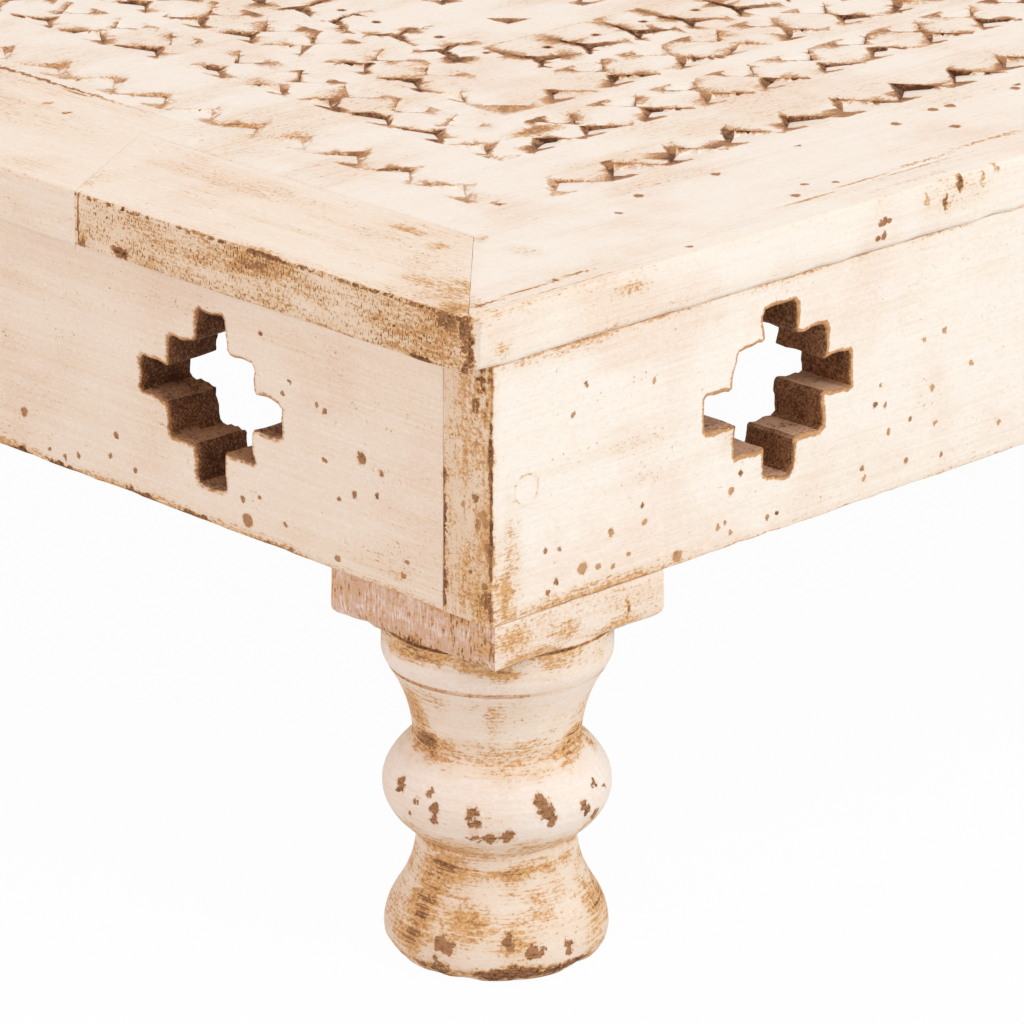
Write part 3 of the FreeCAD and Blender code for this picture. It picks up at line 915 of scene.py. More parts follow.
def wood_colour(f, fresh, cut_shade, ledge_light):
    """Bare wood, lighter where it is fresh, with a painted highlight where it faces up and a painted shade
    deep in a cut.
    """
    upward = f.facing("Z", 0.8, 1.0)
    level = f.plus(f.times(f.grit, 0.8), f.scratch, 0.4)
    # Up-facing wood gets a painted highlight, and fresh wood is lighter of its own
    level = f.add(level, f.plus(f.times(upward, 0.3), fresh, 0.2))
    # Wood deep in a cut is darkened by a painted shade
    level = f.less(f.plus(level, f.patch, 0.3), f.times(f.step(f.cut, 0.7, 1.0), cut_shade))
    wood = f.lay(f.step(level, 0.35, 1.2), DARK, WOOD)
    # Up-facing ledges in the piercings get a paler painted highlight, broken up by grit
    if ledge_light:
        pale = f.times(upward, f.step(f.plus(f.grit, f.patch, 0.6), 0.2, 0.9))
        wood = f.lay(f.times(pale, ledge_light), wood, LEDGE_LIGHT)
    return wood


# %% The painted finish
def painted(name, grain, base=CREAM, patina=0.2, wear=0.6, scratched=0.15, pepper=0.0, ledge_light=0.0,
            gilt=0.8, rim=(0.3, 0.5), cut_shade=0.3, faint=0.0, fray=2.6, flakes=(), stains=(), extra=None):
    """Worn cream paint over brown wood, with as much patina as its density says at each place.

    A cut turns golden past the first rim value, by as much as gilt says, and bare past the second.
    Wood deep in a cut is darkened by a painted shade, and up-facing wood is lightened by a painted
    highlight, each by its own amount. Faint leaves gold in the flakes, which are frayed by so many
    millimetres. Pepper is for open pores, and extra adds more of one's own."""
    f = OldPaint(name, grain)
    film = f.times(f.step(f.plus(f.times(f.mottle, 0.5), f.broad, 0.5), 0.3, 0.8), patina)
    density = aged(f, film, wear, scratched, pepper)
    density = stained(f, density, stains, frayed(f, 2.4, 5.0), frayed(f, 3.0, 1.2))
    colour = paint_colour(f, base, film)
    if extra:
        density, colour = extra(f, density, colour)

    thin = f.step(f.add(density, f.plus(f.times(f.grit, 0.55), f.scratch, 0.35)), 0.86, 1.25)
    thin = f.most(thin, f.times(f.cut_past(rim[0], 0.25), gilt))
    bare = f.most(f.step(f.plus(density, f.grit, 0.5), 1.2, 1.36), f.cut_past(rim[1], 0.3))
    fresh = 0.0
    if flakes:
        thin, fresh = flaked(f, thin, flakes, fray, faint)
        bare = f.most(bare, fresh)
    colour = f.lay(f.maths("MULTIPLY", density, 0.65, clamp=True), colour, TAN)
    crust = f.plus(f.plus(f.grit, density, 0.3), f.step(f.cut, 0.1, 0.35), 0.3)
    colour = f.lay(f.times(thin, 0.8), colour, f.lay(f.step(crust, 0.5, 1.15), HONEY, OCHRE))
    # A cut below zero paints a highlight in white: strong on one wall of each front chip, faint on the
    # ramps
    colour = f.lay(f.step(f.cut, -0.1, -0.45), colour, HIGHLIGHT_WHITE)
    colour = f.lay(bare, colour, wood_colour(f, fresh, cut_shade, ledge_light))
    relief = f.plus(f.plus(f.times(f.brush, 0.3), f.scratch, 0.15), f.grit, 0.2)
    inputs = {"Base Color": colour, "Roughness": f.plus(0.62, bare, 0.2), "Specular IOR Level": 0.3}
    return f.finished(inputs, f.less(relief, f.times(bare, 0.5)), 0.55, 0.3)


# %% Bare wood and steel
def bare_wood(name, grain):
    """Sawn brown hardwood that was never painted."""
    f = Finish(name)
    rings = f.cloud(along_grain(grain, 180, 6), 4, 0.6, 1.0)
    hair = f.cloud(along_grain(grain, 30, 0.6), 3, 0.6, 2.0)
    saw = f.cloud((2.5, 2.5, 2.5), 2, 0.5, 3.0)
    colour = f.lay(f.step(rings, 0.2, 0.8), RAW_DARK, RAW_WOOD)
    colour = f.lay(f.times(f.step(hair, 0.5, 0.15), 0.6), colour, DARK)
    relief = f.plus(f.times(hair, 0.4), saw, 0.2)
    return f.finished({"Base Color": colour, "Roughness": 0.75}, relief, 0.6, 0.4)


def plain_steel(name):
    """Plain screws, dull and slightly browned."""
    f = Finish(name)
    stain = f.cloud((3, 3, 3), 4, 0.6, 1.0)
    colour = f.lay(f.step(stain, 0.3, 0.9), STEEL, BROWNED)
    return f.finished({"Base Color": colour, "Metallic": 0.9, "Roughness": f.plus(0.35, stain, 0.15)})

# %% [markdown]
# ## The framed top
#
# Five rails make a mitred frame, and its front rail is spliced from two pieces. Each rail is its own
# board, so every joint shows as a real line between two worn edges.

# %% Rails of the frame
def as_top(u, v, w):
    """A board that lies flat: its own u, v and w are X, Y and Z."""
    return (u, v, w)


LIP_ARRIS = 2.2 * MM
JOINT_ARRIS = 0.14 * MM
FRONT_ARRIS = 1.1 * MM
TIP = 1.3 * MM
SIDE_TIP = 2.9 * MM
side_rail = [
    (PANEL_X, -PANEL_Y, JOINT_ARRIS),
    (HALF_WIDTH - SIDE_TIP, -HALF_LENGTH + SIDE_TIP, LIP_ARRIS),
    (HALF_WIDTH - 0.25 * SIDE_TIP, -HALF_LENGTH + 1.8 * SIDE_TIP, LIP_ARRIS),
    (HALF_WIDTH, -HALF_LENGTH + 3.2 * SIDE_TIP, LIP_ARRIS),
    (HALF_WIDTH, HALF_LENGTH - 2.2 * TIP, LIP_ARRIS),
    (HALF_WIDTH - TIP, HALF_LENGTH - TIP, JOINT_ARRIS),
    (PANEL_X, PANEL_Y, JOINT_ARRIS),
]
back_rail = [
    (PANEL_X, PANEL_Y, JOINT_ARRIS),
    (HALF_WIDTH - TIP, HALF_LENGTH - TIP, LIP_ARRIS),
    (HALF_WIDTH - 2.2 * TIP, HALF_LENGTH, LIP_ARRIS),
    (-HALF_WIDTH + 2.2 * TIP, HALF_LENGTH, LIP_ARRIS),
    (-HALF_WIDTH + TIP, HALF_LENGTH - TIP, JOINT_ARRIS),
    (-PANEL_X, PANEL_Y, JOINT_ARRIS),
]
front_right_rail = [
    (SEAM_X, -PANEL_Y, JOINT_ARRIS),
    (SPLICE_FOOT_X, -HALF_LENGTH, FRONT_ARRIS),
    (HALF_WIDTH - 2.2 * TIP, -HALF_LENGTH, FRONT_ARRIS),
    (HALF_WIDTH - TIP, -HALF_LENGTH + TIP, JOINT_ARRIS),
    (PANEL_X, -PANEL_Y, JOINT_ARRIS),
]
front_left_rail = [
    (-PANEL_X, -WIDE_RAIL_Y, JOINT_ARRIS),
    (-PANEL_X, -PANEL_Y, JOINT_ARRIS),
    (-HALF_WIDTH + TIP, -HALF_LENGTH + TIP, LIP_ARRIS),
    (-HALF_WIDTH + 2.2 * TIP, -HALF_LENGTH, FRONT_ARRIS),
    (SPLICE_FOOT_X, -HALF_LENGTH, JOINT_ARRIS),
    (SEAM_X, -PANEL_Y, JOINT_ARRIS),
    (SEAM_X, -WIDE_RAIL_Y, JOINT_ARRIS),
]

# %% Marks on the rails
# Places are in millimetres from the table's middle. A radius follows, or a reach and a strength
LIP_STAINS = (
    ((208, -301, 197), (17, 5, 5), 0.35), ((212, -301, 199.6), (8, 3, 1.2), 0.6),
    ((190, -301, 194), (46, 5, 5), 0.25), ((152.5, -301, 186.6), (5, 4, 2), 1.6),
    ((237, -301, 197.2), (8, 4, 2.4), -0.5), ((284, -301, 197), (7, 4, 6), 0.5),
    ((290.5, -301, 192), (1.6, 4, 14), 1.3), ((274, -301, 184.4), (7, 4, 1.8), 0.9),
    ((241, -301, 184.3), (26, 4, 1.0), 0.5), ((134.4, -301, 193), (0.5, 4, 12), 1.3),
    ((136, -301, 186), (2, 4, 3), 0.9), ((127, -290, 200), (9, 14, 0.9), 0.25),
    ((270, -285, 200), (14, 12, 2), 0.45), ((256, -287, 200), (12, 6, 2), 0.4),
    ((240, -263, 200), (5, 4, 2), 0.5), ((224, -258, 200), (9, 2.6, 2), 0.7),
    ((283, -296, 200), (8, 5, 2), 0.5), ((215, -298, 200), (60, 3, 1), 0.3),
)
SIDE_RAIL_FLAKES = (
    (242.6, -56.6, 200, 1.8), (238, -66, 200, 2.2), (241.6, -63.4, 200, 2.0), (257.9, -72, 200, 1.9),
    (244.5, -82.5, 200, 1.8), (240, -24.5, 200, 2.0), (243, -28, 200, 1.8), (268.3, -147, 200, 1.4),
    (272.7, -139, 200, 1.2), (244, -158, 200, 1.6), (274, -157, 200, 1.5), (244, -189, 200, 1.6),
    (287, -213, 200, 1.2), (292, -139.4, 192.7, 1.4), (292, -141.2, 192.4, 1.1),
    (292, -139.8, 188.4, 1.3), (262, -285, 200, 1.4), (240, -120, 200, 1.3), (252, -205, 200, 1.2),
    (236, -196, 200, 1.4), (292, -137.4, 192.6, 1.1), (292, -142, 188.2, 1.0),
)
SIDE_RAIL_STAINS = (
    ((285.6, -288, 200), (1.0, 9, 1.5), 1.0), ((284.2, -272, 200), (0.8, 14, 1.5), 0.9),
    ((283.5, -261, 200), (2.0, 2.4, 1.5), 1.1), ((283.2, -252, 200), (1.3, 8, 1.5), 1.0),
    ((289, -262, 199.8), (0.4, 36, 0.8), 0.6), ((279, -158, 200), (0.9, 16, 1.5), 0.75),
    ((276.8, -134, 200), (0.8, 18, 1.5), 0.8), ((275.5, -106, 200), (1.0, 22, 1.5), 0.85),
    ((273.6, -76, 200), (1.0, 22, 1.5), 0.85), ((278.6, -108, 200), (0.6, 30, 1.5), 0.6),
    ((281, -120, 200), (4, 50, 1.5), 0.3), ((286, -118, 200), (2.2, 34, 1.5), 0.4),
    ((292, -270, 184), (3, 20, 0.5), 0.7), ((289.2, -298.2, 191), (2.4, 2.4, 12), 1.3),
    ((292, -107.6, 197.3), (3, 2.2, 3.2), 0.95), ((292, -113.9, 193), (3, 1.2, 4), 0.85),
    ((292, -122, 195), (3, 1.2, 3), 0.5), ((291, -92, 198.6), (3, 1.2, 3), 0.6),
    ((292, -98, 197), (3, 1, 2.6), 0.5), ((292, -106, 194), (3, 24, 7), 0.35),
    ((292, -240, 195), (3, 9, 3), 0.45), ((292, -288, 189), (3, 4, 3), 0.45),
    ((276, -290, 200), (16, 6, 2), 0.35), ((259, -249, 200), (8, 7, 2), 0.4),
    ((243, -250, 200), (4, 5, 2), 0.5), ((292, -250, 185), (3, 14, 2), 0.35),
)
WIDE_RAIL_STAINS = (
    ((36, -WIDE_RAIL_Y / MM, 200), (50, 1.0, 3), 1.4),
    ((56, -WIDE_RAIL_Y / MM - 2, 200), (9, 0.9, 2), 1.0), ((125, -249, 200), (28, 0.7, 3), 0.8),
    ((60, -262, 200), (60, 14, 2), 0.3), ((58, -248, 200), (1.6, 3.6, 2), 0.8),
    ((70, -251, 200), (1.8, 2.2, 2), 1.3), ((18, -225, 200), (8, 2, 2), 0.7),
    ((0, -301, 186), (120, 4, 2), 0.3), ((60, -301, 193), (60, 4, 5), 0.15),
)


def specks(f, density, colour):
    """Open pores in a golden film on the front lip, and a dotted line where its upper arris has chipped."""
    lip = f.facing("Y", -0.5, -0.9)
    pore = f.cloud((0.55, 0.55, 1.3), 1, 0.5, 14.0)
    patch = f.cloud((14, 14, 6), 3, 0.6, 15.0)
    broken = f.cloud((2.2, 2.2, 2.2), 3, 0.65, 23.0)
    pores = f.times(f.step(pore, 0.62, 0.95), f.plus(0.35, patch, 0.7))
    density = f.plus(density, lip, f.add(f.plus(0.12, patch, 0.3), pores))
    line = f.band(mark_height(f), 199.2, 0.8)
    density = f.plus(density, line, f.times(f.step(broken, 0.4, 0.75), 1.1))
    return density, f.lay(f.times(lip, f.plus(0.1, patch, 0.35)), colour, TAN)


rail_x = painted("rail_paint_x", "X", WARM, patina=0.35, wear=0.4, scratched=0.35, stains=WIDE_RAIL_STAINS)
rail_y = painted("rail_paint_y", "Y", patina=0.2, wear=0.25, flakes=SIDE_RAIL_FLAKES,
                 stains=SIDE_RAIL_STAINS)
rail_worn = painted("rail_paint_worn", "X", WARM, patina=0.4, scratched=0.25, wear=0.2, pepper=1.1,
                    stains=LIP_STAINS, extra=specks)
for number, (node, outline, paint, turns, share) in enumerate((
    ("frame_rail_right", side_rail, rail_y, 0, 1.3),
    ("frame_rail_left", side_rail, rail_y, 2, 1.3),
    ("frame_rail_back", back_rail, rail_x, 0, 1.1),
    ("frame_rail_front_right", front_right_rail, rail_worn, 0, 1.1),
    ("frame_rail_front_left", front_left_rail, rail_x, 0, 1.1),
)):
    rail = worn_board("worn_" + node, as_top, outline, TOP_FOOT, TABLE_TOP, back_share=share,
                      seed=number + 1.0)
    dress(rail, paint, node, turns)

# %% [markdown]
# ## The carved boards
#
# The three carved boards are made as one surface, so that the carving runs across their joints as it does
# on the real top. Then the mesh is sawn apart along the two joints.

# %% One carved field
panel_outline = [
    (-PANEL_X, -WIDE_RAIL_Y, JOINT_ARRIS),
    (SEAM_X, -WIDE_RAIL_Y, JOINT_ARRIS),
    (SEAM_X, -PANEL_Y, JOINT_ARRIS),
    (PANEL_X, -PANEL_Y, JOINT_ARRIS),
    (PANEL_X, PANEL_Y, JOINT_ARRIS),
    (-PANEL_X, PANEL_Y, JOINT_ARRIS),
]
field = worn_board("carved_field", as_top, panel_outline, TOP_FOOT, TABLE_TOP, grid=7 * MM,
                   carving=carving, seed=8.0)
print("carved field", len(field.data.vertices), "points")


# %% Sawn into three boards
SAW_REACH = 1e-6


def sawn(field, name, left, right):
    """The part of the field between two joints, closed where it was sawn."""
    mesh = bmesh.new()
    mesh.from_mesh(field.data)
    for x, side in ((left, -1), (right, 1)):
        if x is None:
            continue
        everything = mesh.verts[:] + mesh.edges[:] + mesh.faces[:]
        cut = bmesh.ops.bisect_plane(mesh, geom=everything, dist=SAW_REACH, plane_co=(x, 0, 0),
                                     plane_no=(side, 0, 0), clear_outer=True)
        sawn_edges = [item for item in cut["geom_cut"] if isinstance(item, bmesh.types.BMEdge)]
        bmesh.ops.triangle_fill(mesh, use_beauty=True, edges=sawn_edges, normal=(side, 0, 0))
    bmesh.ops.recalc_face_normals(mesh, faces=mesh.faces)
    board = bpy.data.meshes.new(name)
    mesh.to_mesh(board)
    mesh.free()
    return in_scene(name, board)


PANEL_STAINS = (
    ((177.5, -164, 200), (6, 14, 2), 1.1), ((SEAM_X / MM, 0, 200), (0.5, 400, 2), 0.35),
    ((-SEAM_X / MM, 0, 200), (0.5, 400, 2), 0.35), ((36, -WIDE_RAIL_Y / MM, 200), (50, 1.0, 3), 1.4),
)
# The carved boards get a painted shade deep in their chips
panel_paint = painted("panel_paint", "Y", patina=0.3, wear=0.8, scratched=0.3, cut_shade=0.42,
                      stains=PANEL_STAINS)
for name, left, right in (("left", None, -SEAM_X), ("middle", -SEAM_X, SEAM_X), ("right", SEAM_X, None)):
    board = sawn(field, "carved_board_" + name, left, right)
    dress(board, panel_paint, "panel_board_" + name)
bpy.data.objects.remove(field)

# %% [markdown]
# ## Pierced aprons
#
# Each apron is a board on its edge with three stepped openings, sawn and chiselled from the outside. The
# two at the sides run through and show their end grain at the front, and the other two fit between them.

# %% Piercings
CELL_WIDTH = 11.6 * MM
CELL_HEIGHT = 10 * MM
STEPS = 2
END_INSET = 113 * MM
END_LEVEL = 37 * MM
SIDE_INSET = 111 * MM
SIDE_LEVEL = 41.5 * MM
APRON_ARRIS = 0.7 * MM
PIERCING_ARRIS = 1.0 * MM
STRAY = 1.0 * MM
CORNER_WEAR = 0.9 * MM


def piercing(middle, level, draw):
    """A stepped diamond of cells round a middle, run clockwise so that its wall faces the opening."""
    right = []
    for row in range(-STEPS, STEPS + 1):
        half = (STEPS - abs(row)) * CELL_WIDTH + CELL_WIDTH / 2
        low = row * CELL_HEIGHT - CELL_HEIGHT / 2
        right += [(half, low), (half, low + CELL_HEIGHT)]
    left = [(-along, height) for along, height in reversed(right)]
    corners = [Vector((middle + along, level + height)) for along, height in reversed(right + left)]
    corners = [corner + Vector((draw.uniform(-1, 1), draw.uniform(-1, 1))) * STRAY for corner in corners]
    worn = []
    for before, here, after in zip(corners[-1:] + corners[:-1], corners, corners[1:] + corners[:1]):
        for other in (before, after):
            spot = here + (other - here).normalized() * CORNER_WEAR * draw.uniform(0.5, 1.5)
            worn.append((*spot, PIERCING_ARRIS))
    return worn


def square(low, high, arris, ends=None):
    """The four corners of an oblong, with one arris radius all round or another at its ends."""
    ends = ends or arris
    return [(low[0], low[1], arris), (high[0], low[1], ends), (high[0], high[1], arris),
            (low[0], high[1], ends)]


def apron(node, out, half, inset, level, paint, seed, quarter_turns=0):
    """A worn, pierced board, made with its face towards the out direction and then turned to its side."""
    out = Vector(out)
    across = Vector((0, 0, 1)).cross(out)

    def on_edge(u, v, w):
        """A board on its edge: its own u runs along it, v up and w out."""
        return tuple(across * u + Vector((0, 0, v)) + out * w)

    ends = APRON_ARRIS if half == HALF_BOX else JOINT_ARRIS
    outline = square((-half, APRON_FOOT), (half, TOP_FOOT), APRON_ARRIS, ends)
    draw = random.Random(int(seed))
    middles = (inset - HALF_BOX, 0, HALF_BOX - inset)
    holes = [piercing(middle, APRON_FOOT + level, draw) for middle in middles]
    board = worn_board("worn_" + node, on_edge, outline, HALF_BOX - APRON_THICKNESS, HALF_BOX, holes,
                       ragged=0.5 * MM, seed=seed)
    return dress(board, paint, node, quarter_turns)


# %% Paint chips on the two aprons of the near corner
# Each is its distance from that corner, its height on the apron and its radius. Those on the strip of
# end grain are counted from its middle
FRONT_CHIPS = (
    (195, 13, 2.2), (154, 16, 1.6), (157, 9, 1.3), (146, 7.5, 1.4), (171, 5.5, 1.3), (177, 3.5, 1.2),
    (184, 4.5, 1.2), (98, 5, 3.0), (100, 11, 1.4), (93, 13, 1.2), (82, 8, 1.3), (80, 1, 1.6),
    (61, 4, 1.5), (54, 24, 1.6), (51, 35.5, 2.6), (43, 33, 1.4), (45, 26, 1.4), (60, 21, 1.2),
    (66, 31, 1.3), (66, 45, 1.2), (69, 46, 1.2), (83, 46, 1.2), (80, 50, 1.1), (92, 61.5, 1.2),
    (34.5, 6, 1.3), (33, 10, 1.2),
)
SIDE_CHIPS = (
    (35, 61, 1.2), (61, 56, 1.2), (30, 53.5, 1.1), (20, 17, 1.4), (25, 16.5, 1.2), (45, 16, 1.8),
    (58, 16, 1.4), (57, 21, 1.2), (24, 7.5, 1.5), (34, 8.5, 2.6), (40, 7.5, 1.5), (46, 6, 1.4),
    (52, 8, 1.3), (21, 5, 1.3), (71, 2.5, 2.6), (92, 16.5, 1.6), (96, 21, 1.3), (87, 7, 1.3),
    (90, 7.5, 1.2), (92, 4, 1.2), (107, 5, 1.2), (111, 5, 1.2), (146, 10, 1.5), (147, 7, 1.3),
    (151, 28, 1.3), (155, 27, 1.3), (157, 18.5, 1.4), (166, 20, 1.2), (165, 8, 1.3), (175, 27.5, 1.4),
    (177, 16.5, 1.4), (180, 6, 1.3), (205, 10, 1.3), (171, 43, 1.2), (180, 43.5, 1.4), (192, 31, 1.4),
    (153, 33, 1.1),
)
STRIP_CHIPS = (
    (-3.3, 15.4, 1.5), (-8.2, 12.6, 0.9), (-0.8, 11.2, 1.8), (0.5, 9.6, 1.5), (-2.7, 7.3, 1.2),
    (-2.2, 9, 1.0), (1.8, 2.4, 1.8), (2.2, -1, 1.6), (0, -8.8, 1.4), (-1.1, -13.4, 1.4), (0.8, -11, 1.0),
    (-5, -6, 0.8),
)
FLAKE_SHRINK = 0.74
APRON_MARK_FOOT = 110
APRON_FACE = 290
STRIP_X, STRIP_Z = 286.9, 130
FRONT_FLAKES = [(APRON_FACE - along, -APRON_FACE, APRON_MARK_FOOT + height, radius * FLAKE_SHRINK)
                for along, height, radius in FRONT_CHIPS]
SIDE_FLAKES = [(APRON_FACE, along - APRON_FACE, APRON_MARK_FOOT + height, radius * FLAKE_SHRINK)
               for along, height, radius in SIDE_CHIPS]
SIDE_FLAKES += [(STRIP_X + along, -APRON_FACE, STRIP_Z + height, radius)
                for along, height, radius in STRIP_CHIPS]

# %% Stains on the two aprons
# A front mark is its place along X and Z, its reach along both, and its strength
FRONT_MARKS = (
    (146, 110.3, 8, 1.6, 1.5), (93, 110.3, 6, 1.3, 1.3), (202, 110.3, 4, 1.3, 1.3),
    (140, 111, 150, 2.5, 0.35), (250, 118, 20, 9, 0.25), (-30, 140, 130, 50, 0.32),
    (-10, 166, 90, 10, 0.3), (36, 128, 50, 10, 0.3), (150, 172, 70, 6, 0.15), (60, 114, 60, 8, 0.3),
    (0, 112, 60, 4, 0.45), (70, 111, 8, 2, 1.1), (40, 111, 7, 1.6, 1.1), (112, 110.4, 9, 1.5, 1.2),
    (170, 110.4, 8, 1.4, 1.2), (22, 110.4, 9, 1.5, 1.1), (0, 110.6, 8, 1.8, 1.1),
)
FRONT_STAINS = [((x, -APRON_FACE, z), (wide, 4, tall), strength)
                for x, z, wide, tall, strength in FRONT_MARKS]
SIDE_STAINS = (
    ((286.5, -290.5, 180), (4, 1.2, 6), 0.9), ((284, -290.5, 172), (4, 1.2, 6), 0.5),
    ((287, -290.5, 160), (6, 1.4, 20), 0.3), ((286, -290, 136), (6, 2, 14), 0.3),
    ((286, -290, 116), (5, 2, 9), 0.4), ((271.3, -290, 116), (1.4, 3, 9), 1.6),
    ((271.2, -290, 136), (1.1, 3, 16), 1.3), ((271.4, -290, 150), (1.2, 3, 3), 1.2),
    ((290, -283, 128), (3, 6, 26), 0.4), ((290, -286, 118), (3, 4, 9), 0.5),
    ((290, -255, 112), (3, 50, 3.5), 0.4), ((290, -272, 183), (3, 34, 6), 0.3),
    ((290, -250, 150), (3, 40, 3), 0.16), ((290, -225, 139), (3, 40, 3), 0.16),
    ((290, -178, 130), (3, 11, 5), 0.55), ((290, -198, 143), (3, 7, 8), 0.4),
    ((289.6, -290.2, 147), (1.4, 0.7, 40), 0.9), ((281, -290.5, 165), (9, 1.4, 20), 0.35),
    ((283, -290.5, 120), (8, 1.4, 14), 0.3),
)


# %% The four aprons
plug_low, plug_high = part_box("screw_plugs")
PLUG = (HALF_BOX, plug_high.y - (plug_high.z - plug_low.z) / 2, (plug_low.z + plug_high.z) / 2)


def end_grain(f, density, colour):
    """The sawn end of a side apron, with a film and upright streaks, and the ring round a screw's plug."""
    face = f.facing("Y", -0.6, -0.8)
    streak = f.cloud((1.3, 1.3, 9), 3, 0.6, 11.0)
    blot = f.cloud((7, 7, 14), 3, 0.6, 12.0)
    film = f.plus(f.times(blot, 0.45), f.less(streak, 0.5), 0.45)
    density = f.plus(density, face, f.add(film, 0.12))
    away = f.vector("DISTANCE", f.vector("ABSOLUTE", frayed(f, 3.0, 2.8)), PLUG)
    density = f.plus(density, f.band(f.times(away, 1 / MM), 3.9, 1.6), f.plus(0.05, blot, 0.55))
    return density, f.lay(f.times(face, 0.35), colour, TAN)


# The aprons' piercings get a painted highlight on their up-facing ledges and, on the front pair, a painted
# shade deep in them
front_paint = painted("apron_paint_front", "X", WARM, patina=0.25, pepper=0.8, ledge_light=0.3, gilt=0.35,
                      cut_shade=0.17, faint=0.3, flakes=FRONT_FLAKES, stains=FRONT_STAINS)
side_paint = painted("apron_paint_side", "Y", patina=0.15, pepper=0.8, ledge_light=0.9, gilt=1.0,
                     rim=(0.16, 0.66), cut_shade=0.0, faint=0.65, flakes=SIDE_FLAKES, stains=SIDE_STAINS,
                     extra=end_grain)
INNER_FACE = HALF_BOX - APRON_THICKNESS
apron("apron_front", (0, -1, 0), INNER_FACE, END_INSET, END_LEVEL, front_paint, 21.0)
apron("apron_back", (0, -1, 0), INNER_FACE, END_INSET, END_LEVEL, front_paint, 22.0, 2)
apron("apron_right", (1, 0, 0), HALF_BOX, SIDE_INSET, SIDE_LEVEL, side_paint, 23.0)
apron("apron_left", (1, 0, 0), HALF_BOX, SIDE_INSET, SIDE_LEVEL, side_paint, 24.0, 2)

# %% [markdown]
# ## Turned legs
#
# A leg is one piece of wood: a square plate at its head, and below it a collar, a cove, a bead and a bell
# foot, turned on a lathe. Its half outline is spun round the axis. The plate and the post that runs up
# inside the aprons are joined to it as solids, because turner and joiner cut them from the same block.

# %% The turned outline
leg_low, leg_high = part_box("leg_front_right")
LEG_SQUARE = leg_high.x - leg_low.x
LATHE_STEPS = 96
OUT_OF_ROUND = 0.25 * MM
LATHE_MARK = 0.12 * MM
FOOT_CHIPPING = 3.5 * MM
FOOT_CHIPPED_TO = 6
# The noise that shapes a leg is read at this radius
SPINDLE = 30 * MM


def bowed(start, end, bulge, steps):
    """Points of a shallow arc between two (radius, height) places. A positive bulge swells outward."""
    a, b = Vector(start), Vector(end)
    along = (b - a).normalized()
    outward = Vector((along.y, -along.x))
    shares = [k / steps for k in range(steps)]
    return [a.lerp(b, share) + outward * bulge * 4 * share * (1 - share) for share in shares]


foot_flat, foot = (28.3, 0), (31.8, 6.5)
shoulder, low_neck = (28.6, 16.5), (22.7, 35.3)
bead_head, cove_top = (23.6, 63.4), (30.6, 85.2)
groove_low, groove_high = (30, 85.2), (30, 86.4)
collar_foot, collar, head = (31.2, 86.4), (32.4, 91), (32.4, 100)
turned = []
for start, end, bulge, steps in (
    (foot_flat, foot, 1.0, 6), (foot, shoulder, 0.7, 6), (shoulder, low_neck, -1.5, 14),
    (low_neck, bead_head, 9.1, 26), (bead_head, cove_top, -1.5, 14), (cove_top, groove_low, 0, 1),
    (groove_low, groove_high, 0, 1), (groove_high, collar_foot, 0, 1), (collar_foot, collar, 0.4, 5),
    (collar, head, 0, 4),
):
    turned += bowed(start, end, bulge, steps)
turned.append(Vector(head))

# %% The turning
def turning(axis, seed):
    """The turned length of a leg round its axis, slightly out of true as hand turning is."""
    points, faces = [], []
    for place in turned:
        for k in range(LATHE_STEPS):
            angle = 2 * math.pi * k / LATHE_STEPS
            out = Vector((math.cos(angle), math.sin(angle)))
            spot = (out.x * SPINDLE, out.y * SPINDLE, place.y * MM)
            radius = place.x * MM - OUT_OF_ROUND * (1 + wander(spot, 14 * MM, seed)) / 2
            radius -= LATHE_MARK * abs(wander((0, 0, place.y * MM), 1.7 * MM, seed))
            low_down = max(0.0, 1 - place.y / FOOT_CHIPPED_TO)
            radius -= max(0.0, wander(spot, 8 * MM, seed + 2)) * low_down * FOOT_CHIPPING
            points.append((axis.x + out.x * radius, axis.y + out.y * radius, place.y * MM))
    rings = len(turned)
    for ring in range(rings - 1):
        for k in range(LATHE_STEPS):
            a, b = ring * LATHE_STEPS + k, ring * LATHE_STEPS + (k + 1) % LATHE_STEPS
            faces.append((a, b, b + LATHE_STEPS, a + LATHE_STEPS))
    faces.append(tuple(range(LATHE_STEPS))[::-1])
    faces.append(tuple((rings - 1) * LATHE_STEPS + k for k in range(LATHE_STEPS)))
    mesh = bpy.data.meshes.new("turning")
    mesh.from_pydata(points, [], faces)
    mesh.attributes.new(WEAR, "FLOAT", "POINT")
    mesh.attributes.new(CUT, "FLOAT", "POINT")
    return in_scene("turning", mesh)


# %% Plate, post and turning in one
PLATE_HEIGHT = 13.8 * MM
PLATE_ARRIS = 2.5 * MM
POST_ARRIS = 0.6 * MM
POST_LAP = 2 * MM
POST_GAP = 0.3 * MM
POST_NEAR = HALF_BOX - LEG_SQUARE + POST_GAP
POST_FAR = HALF_BOX - APRON_THICKNESS


def upside_down(u, v, w):
    """A board that looks down: its own u, v and w are Y, X and minus Z."""
    return (v, u, -w)


def joined(whole, *parts):
    """Join overlapping solids into one, and clear away what went into it."""
    for part in parts:
        union = whole.modifiers.new("join", "BOOLEAN")
        union.operation, union.solver, union.object = "UNION", "EXACT", part
    solid = whole.evaluated_get(bpy.context.evaluated_depsgraph_get())
    mesh = bpy.data.meshes.new_from_object(solid)
    for part in (whole,) + parts:
        bpy.data.objects.remove(part)
    return mesh


